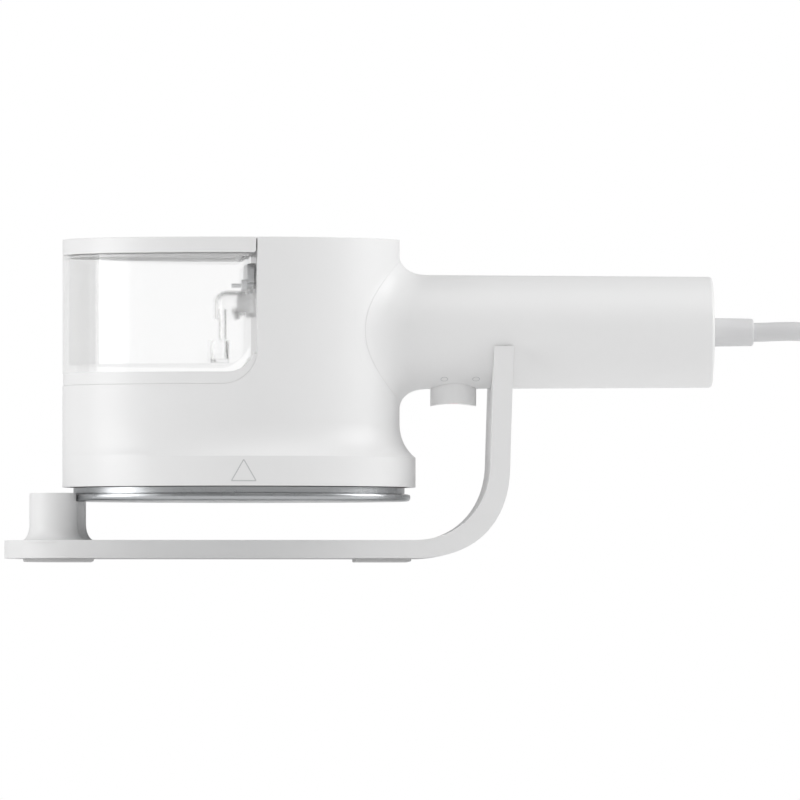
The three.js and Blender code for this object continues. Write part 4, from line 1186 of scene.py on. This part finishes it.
# ---- Handle ----
# Two half shells of satin white ABS, front and back, screwed together from behind. They flare out
# where they meet the head and taper slightly to a flat end that holds the strain relief.
HANDLE_END = 133.2
HANDLE_WALL = 2.4
LEAD_HOLE = 4.5
END_ROUND = 1.3
BUTTON_X = 29.6
BUTTON_R = 9.2
HANDLE_SCREWS = [(60, 106), (88, 76.5), (119, 105)]  # x, z
HANDLE_BOSS_R = 3.4
COUNTERBORE_R = 3.1
HEAD_SEAT = 8  # depth of the counterbores' floor behind the middle


def handle_radius(x):
    return HANDLE_R0 + (HANDLE_R1 - HANDLE_R0) * (x - 24) / (HANDLE_END - 24)


flare_rows = []
for t in ramp(20):
    radius, out = horn_row(seam_turn + (math.pi / 2 - seam_turn) * t)
    flare_rows.append((radius, "d", out))
edge_out = flare_rows[0][2]
seam_edge = SEAM_RADIUS - SEAM_GAP / 2
flare_rows[0] = (seam_edge - 0.06, "d", edge_out)
flare_rows = [(seam_edge, "d", GAP), (seam_edge, "d", edge_out - 0.06)] + flare_rows
end_rows = [(handle_radius(x), "x", x) for x in (25, 60, 100, HANDLE_END - END_ROUND)]
for k in (1, 2, 3, 4, 5):
    a = math.pi / 2 * k / 5
    end_x = HANDLE_END - END_ROUND * (1 - math.sin(a))
    end_rows.append((HANDLE_R1 - END_ROUND * (1 - math.cos(a)), "x", end_x))
bore_rows = [
    (LEAD_HOLE, "x", HANDLE_END), (LEAD_HOLE, "x", HANDLE_END - HANDLE_WALL),
    (HANDLE_R1 - HANDLE_WALL, "x", HANDLE_END - HANDLE_WALL),
    (handle_radius(25) - HANDLE_WALL, "x", 25), (handle_radius(25) - HANDLE_WALL, "d", GAP),
]
handle = turned("handle", flare_rows + end_rows + bore_rows)
boss_limit = [(1, "x", 20)] + [(handle_radius(v) - 0.5, "x", v) for v in (20, 132)] + [(1, "x", 132)]
for x, z in HANDLE_SCREWS:
    boss = rod("boss", (x, -30, z), (x, 30, z), HANDLE_BOSS_R)
    combine(boss, turned("limit", boss_limit), "INTERSECT")
    combine(handle, boss, "UNION")
combine(handle, rod("button_hole", (BUTTON_X, 0, 50), (BUTTON_X, 0, 82), BUTTON_R + GAP, 64))
for name, node, side in (("handle_near_half", "handle_front", -1), ("handle_far_half", "handle_back", 1)):
    half_shell = new_object(name, [], [])
    half_shell.data = handle.data.copy()
    low, high = (-60, -GAP / 2) if side < 0 else (GAP / 2, 60)
    half = prism("half", [(-60, 0), (200, 0), (200, 200), (-60, 200)], low, high, up="Y")
    combine(half_shell, half, "INTERSECT")
    for x, z in HANDLE_SCREWS:
        combine(half_shell, rod("bore", (x, -10, z), (x, 40 if side > 0 else 5, z), BORE_R))
        if side > 0:
            combine(half_shell, rod("counterbore", (x, HEAD_SEAT, z), (x, 40, z), COUNTERBORE_R))
    soften(half_shell, 0.25, 2, 40)
    finish(half_shell, satin_white, "white_abs", node)
bpy.data.objects.remove(handle)

handle_screws = new_object("handle_screws", [Vector((x, 10.8, z)) * MM for x, z in HANDLE_SCREWS], [])
grow(handle_screws, screw_tree, Turn=(math.pi / 2, 0, 0), Shank_length=19.6 * MM, Head_radius=2.7 * MM,
     Head_height=2.0 * MM, Material=zinc_steel)
shade(handle_screws, 40)
finish(handle_screws, zinc_steel, "screw_steel", *[f"handle_screw_{i}" for i in (1, 2, 3)])

# Strain relief: soft grey PVC moulded over the cord, a plain sleeve with a flange inside the handle.
relief_rows = [  # x, radius
    (127.7, 2.0), (127.7, 7.4), (130.4, 7.4), (130.4, 4.1), (133.5, 4.1), (133.5, 5.5), (133.7, 5.7),
    (140, 5.65), (148.9, 5.5), (149.5, 5.3), (149.85, 4.7), (149.85, 2.0),
]
relief = loft("strain_relief_sleeve", [
    [(x, r * s, HANDLE_Z + r * c) for c, s in circle(1, 48)] for x, r in relief_rows])
shade(relief, 40)
finish(relief, cable_pvc, "cable_pvc", "strain_relief")

# ---- Button and electronics ----
# A round white button with a saddle-shaped face slides in a guide under the handle; a small lamp
# shows behind its middle. Above it are a switch on a bracket and a board with a relay.
BUTTON_BOTTOM = 62.3
SADDLE_R = 39
SADDLE_RISE = 1.1
FLANGE_LOW = 79.9
FLANGE_TOP = 81.9
FLANGE_R = BUTTON_R + 1.6
SPRING_BORE = 6.4
LAMP_BORE = 2.1
button_rows = [
    (BUTTON_BOTTOM, BUTTON_R), (FLANGE_LOW, BUTTON_R), (FLANGE_LOW, FLANGE_R), (FLANGE_TOP, FLANGE_R)]
button = loft("button", [
    [(BUTTON_X + r * c, r * s, z) for c, s in circle(1, 72)] for z, r in button_rows])
saddle_z = BUTTON_BOTTOM + SADDLE_RISE - SADDLE_R
combine(button, rod("saddle", (BUTTON_X, -20, saddle_z), (BUTTON_X, 20, saddle_z), SADDLE_R, 360))
combine(button, rod("spring_bore", (BUTTON_X, 0, 70), (BUTTON_X, 0, 90), SPRING_BORE))
combine(button, rod("lamp_bore", (BUTTON_X, 0, 60), (BUTTON_X, 0, 72), LAMP_BORE))
soften(button, 0.8, 4, 40)
# White ABS a shade brighter than the shell's.
bright_white = moulded("moulded_white_abs_bright", "#fdfdfd", 0.3, 0.4, 0.02)
finish(button, bright_white, "white_abs", "trigger_button", body="trigger")

# Two plain rings, pad printed under the handle beside the button.
RING_R = 1.5
RING_LINE = 0.26
RING_TURN = math.radians(-57)
INK_TOP = 0.06
INK_FOOT = 0.01
ring_edges = [(RING_R, INK_FOOT), (RING_R, INK_TOP), (RING_R - RING_LINE, INK_TOP),
              (RING_R - RING_LINE, INK_FOOT)]
for name, x_ring in (("ring_mark_left", 25.5), ("ring_mark_right", 38.2)):
    rows = []
    for radius, lift in ring_edges:
        row = []
        for c, s in circle(radius, 40):
            turn = RING_TURN + s / HANDLE_R0
            reach = handle_radius(x_ring) + lift
            row.append((x_ring + c, -reach * math.cos(turn), HANDLE_Z + reach * math.sin(turn)))
        rows.append(row)
    ring_mark = loft(name, rows, closed=True)
    finish(ring_mark, mark_ink, "white_abs")

# Lamp lens: frosted pink acrylic, faintly lit.
lamp_lens, tree = blank("frosted_pink_acrylic")
place = add(tree, "ShaderNodeTexCoord")
frost = add(tree, "ShaderNodeTexNoise", {"Vector": place.outputs["Object"], "Scale": 1 / (0.4 * MM)})
frosted = add(tree, "ShaderNodeBump", {"Height": frost.outputs[0], "Strength": 0.2, "Distance": 0.02 * MM})
lens = add(tree, "ShaderNodeBsdfPrincipled", {
    "Base Color": linear("#f3b9bd"), "Roughness": 0.35, "Normal": frosted.outputs[0],
    "Emission Color": linear("#ff7f8a"), "Emission Strength": 0.6})
add(tree, "ShaderNodeOutputMaterial", {"Surface": lens.outputs[0]})
dress(lamp_lens, "led")
# Glass-fibre circuit board under a green solder mask.
board_green = moulded("green_solder_mask", "#2c6a45", 0.35, 1.2, 0.02)
dress(board_green, "control_board")
dress(satin_white, "button_guide", "wire_connector")
dress(heat_resin, "switch_bracket", "mains_terminal", "cord_clamp")
dress(black_resin, "relay", "microswitch")
dress(zinc_steel, "trigger_spring")
dress(cable_pvc, "inner_lead")
dress(red_silicone, "heater_wire_1", "heater_wire_2")
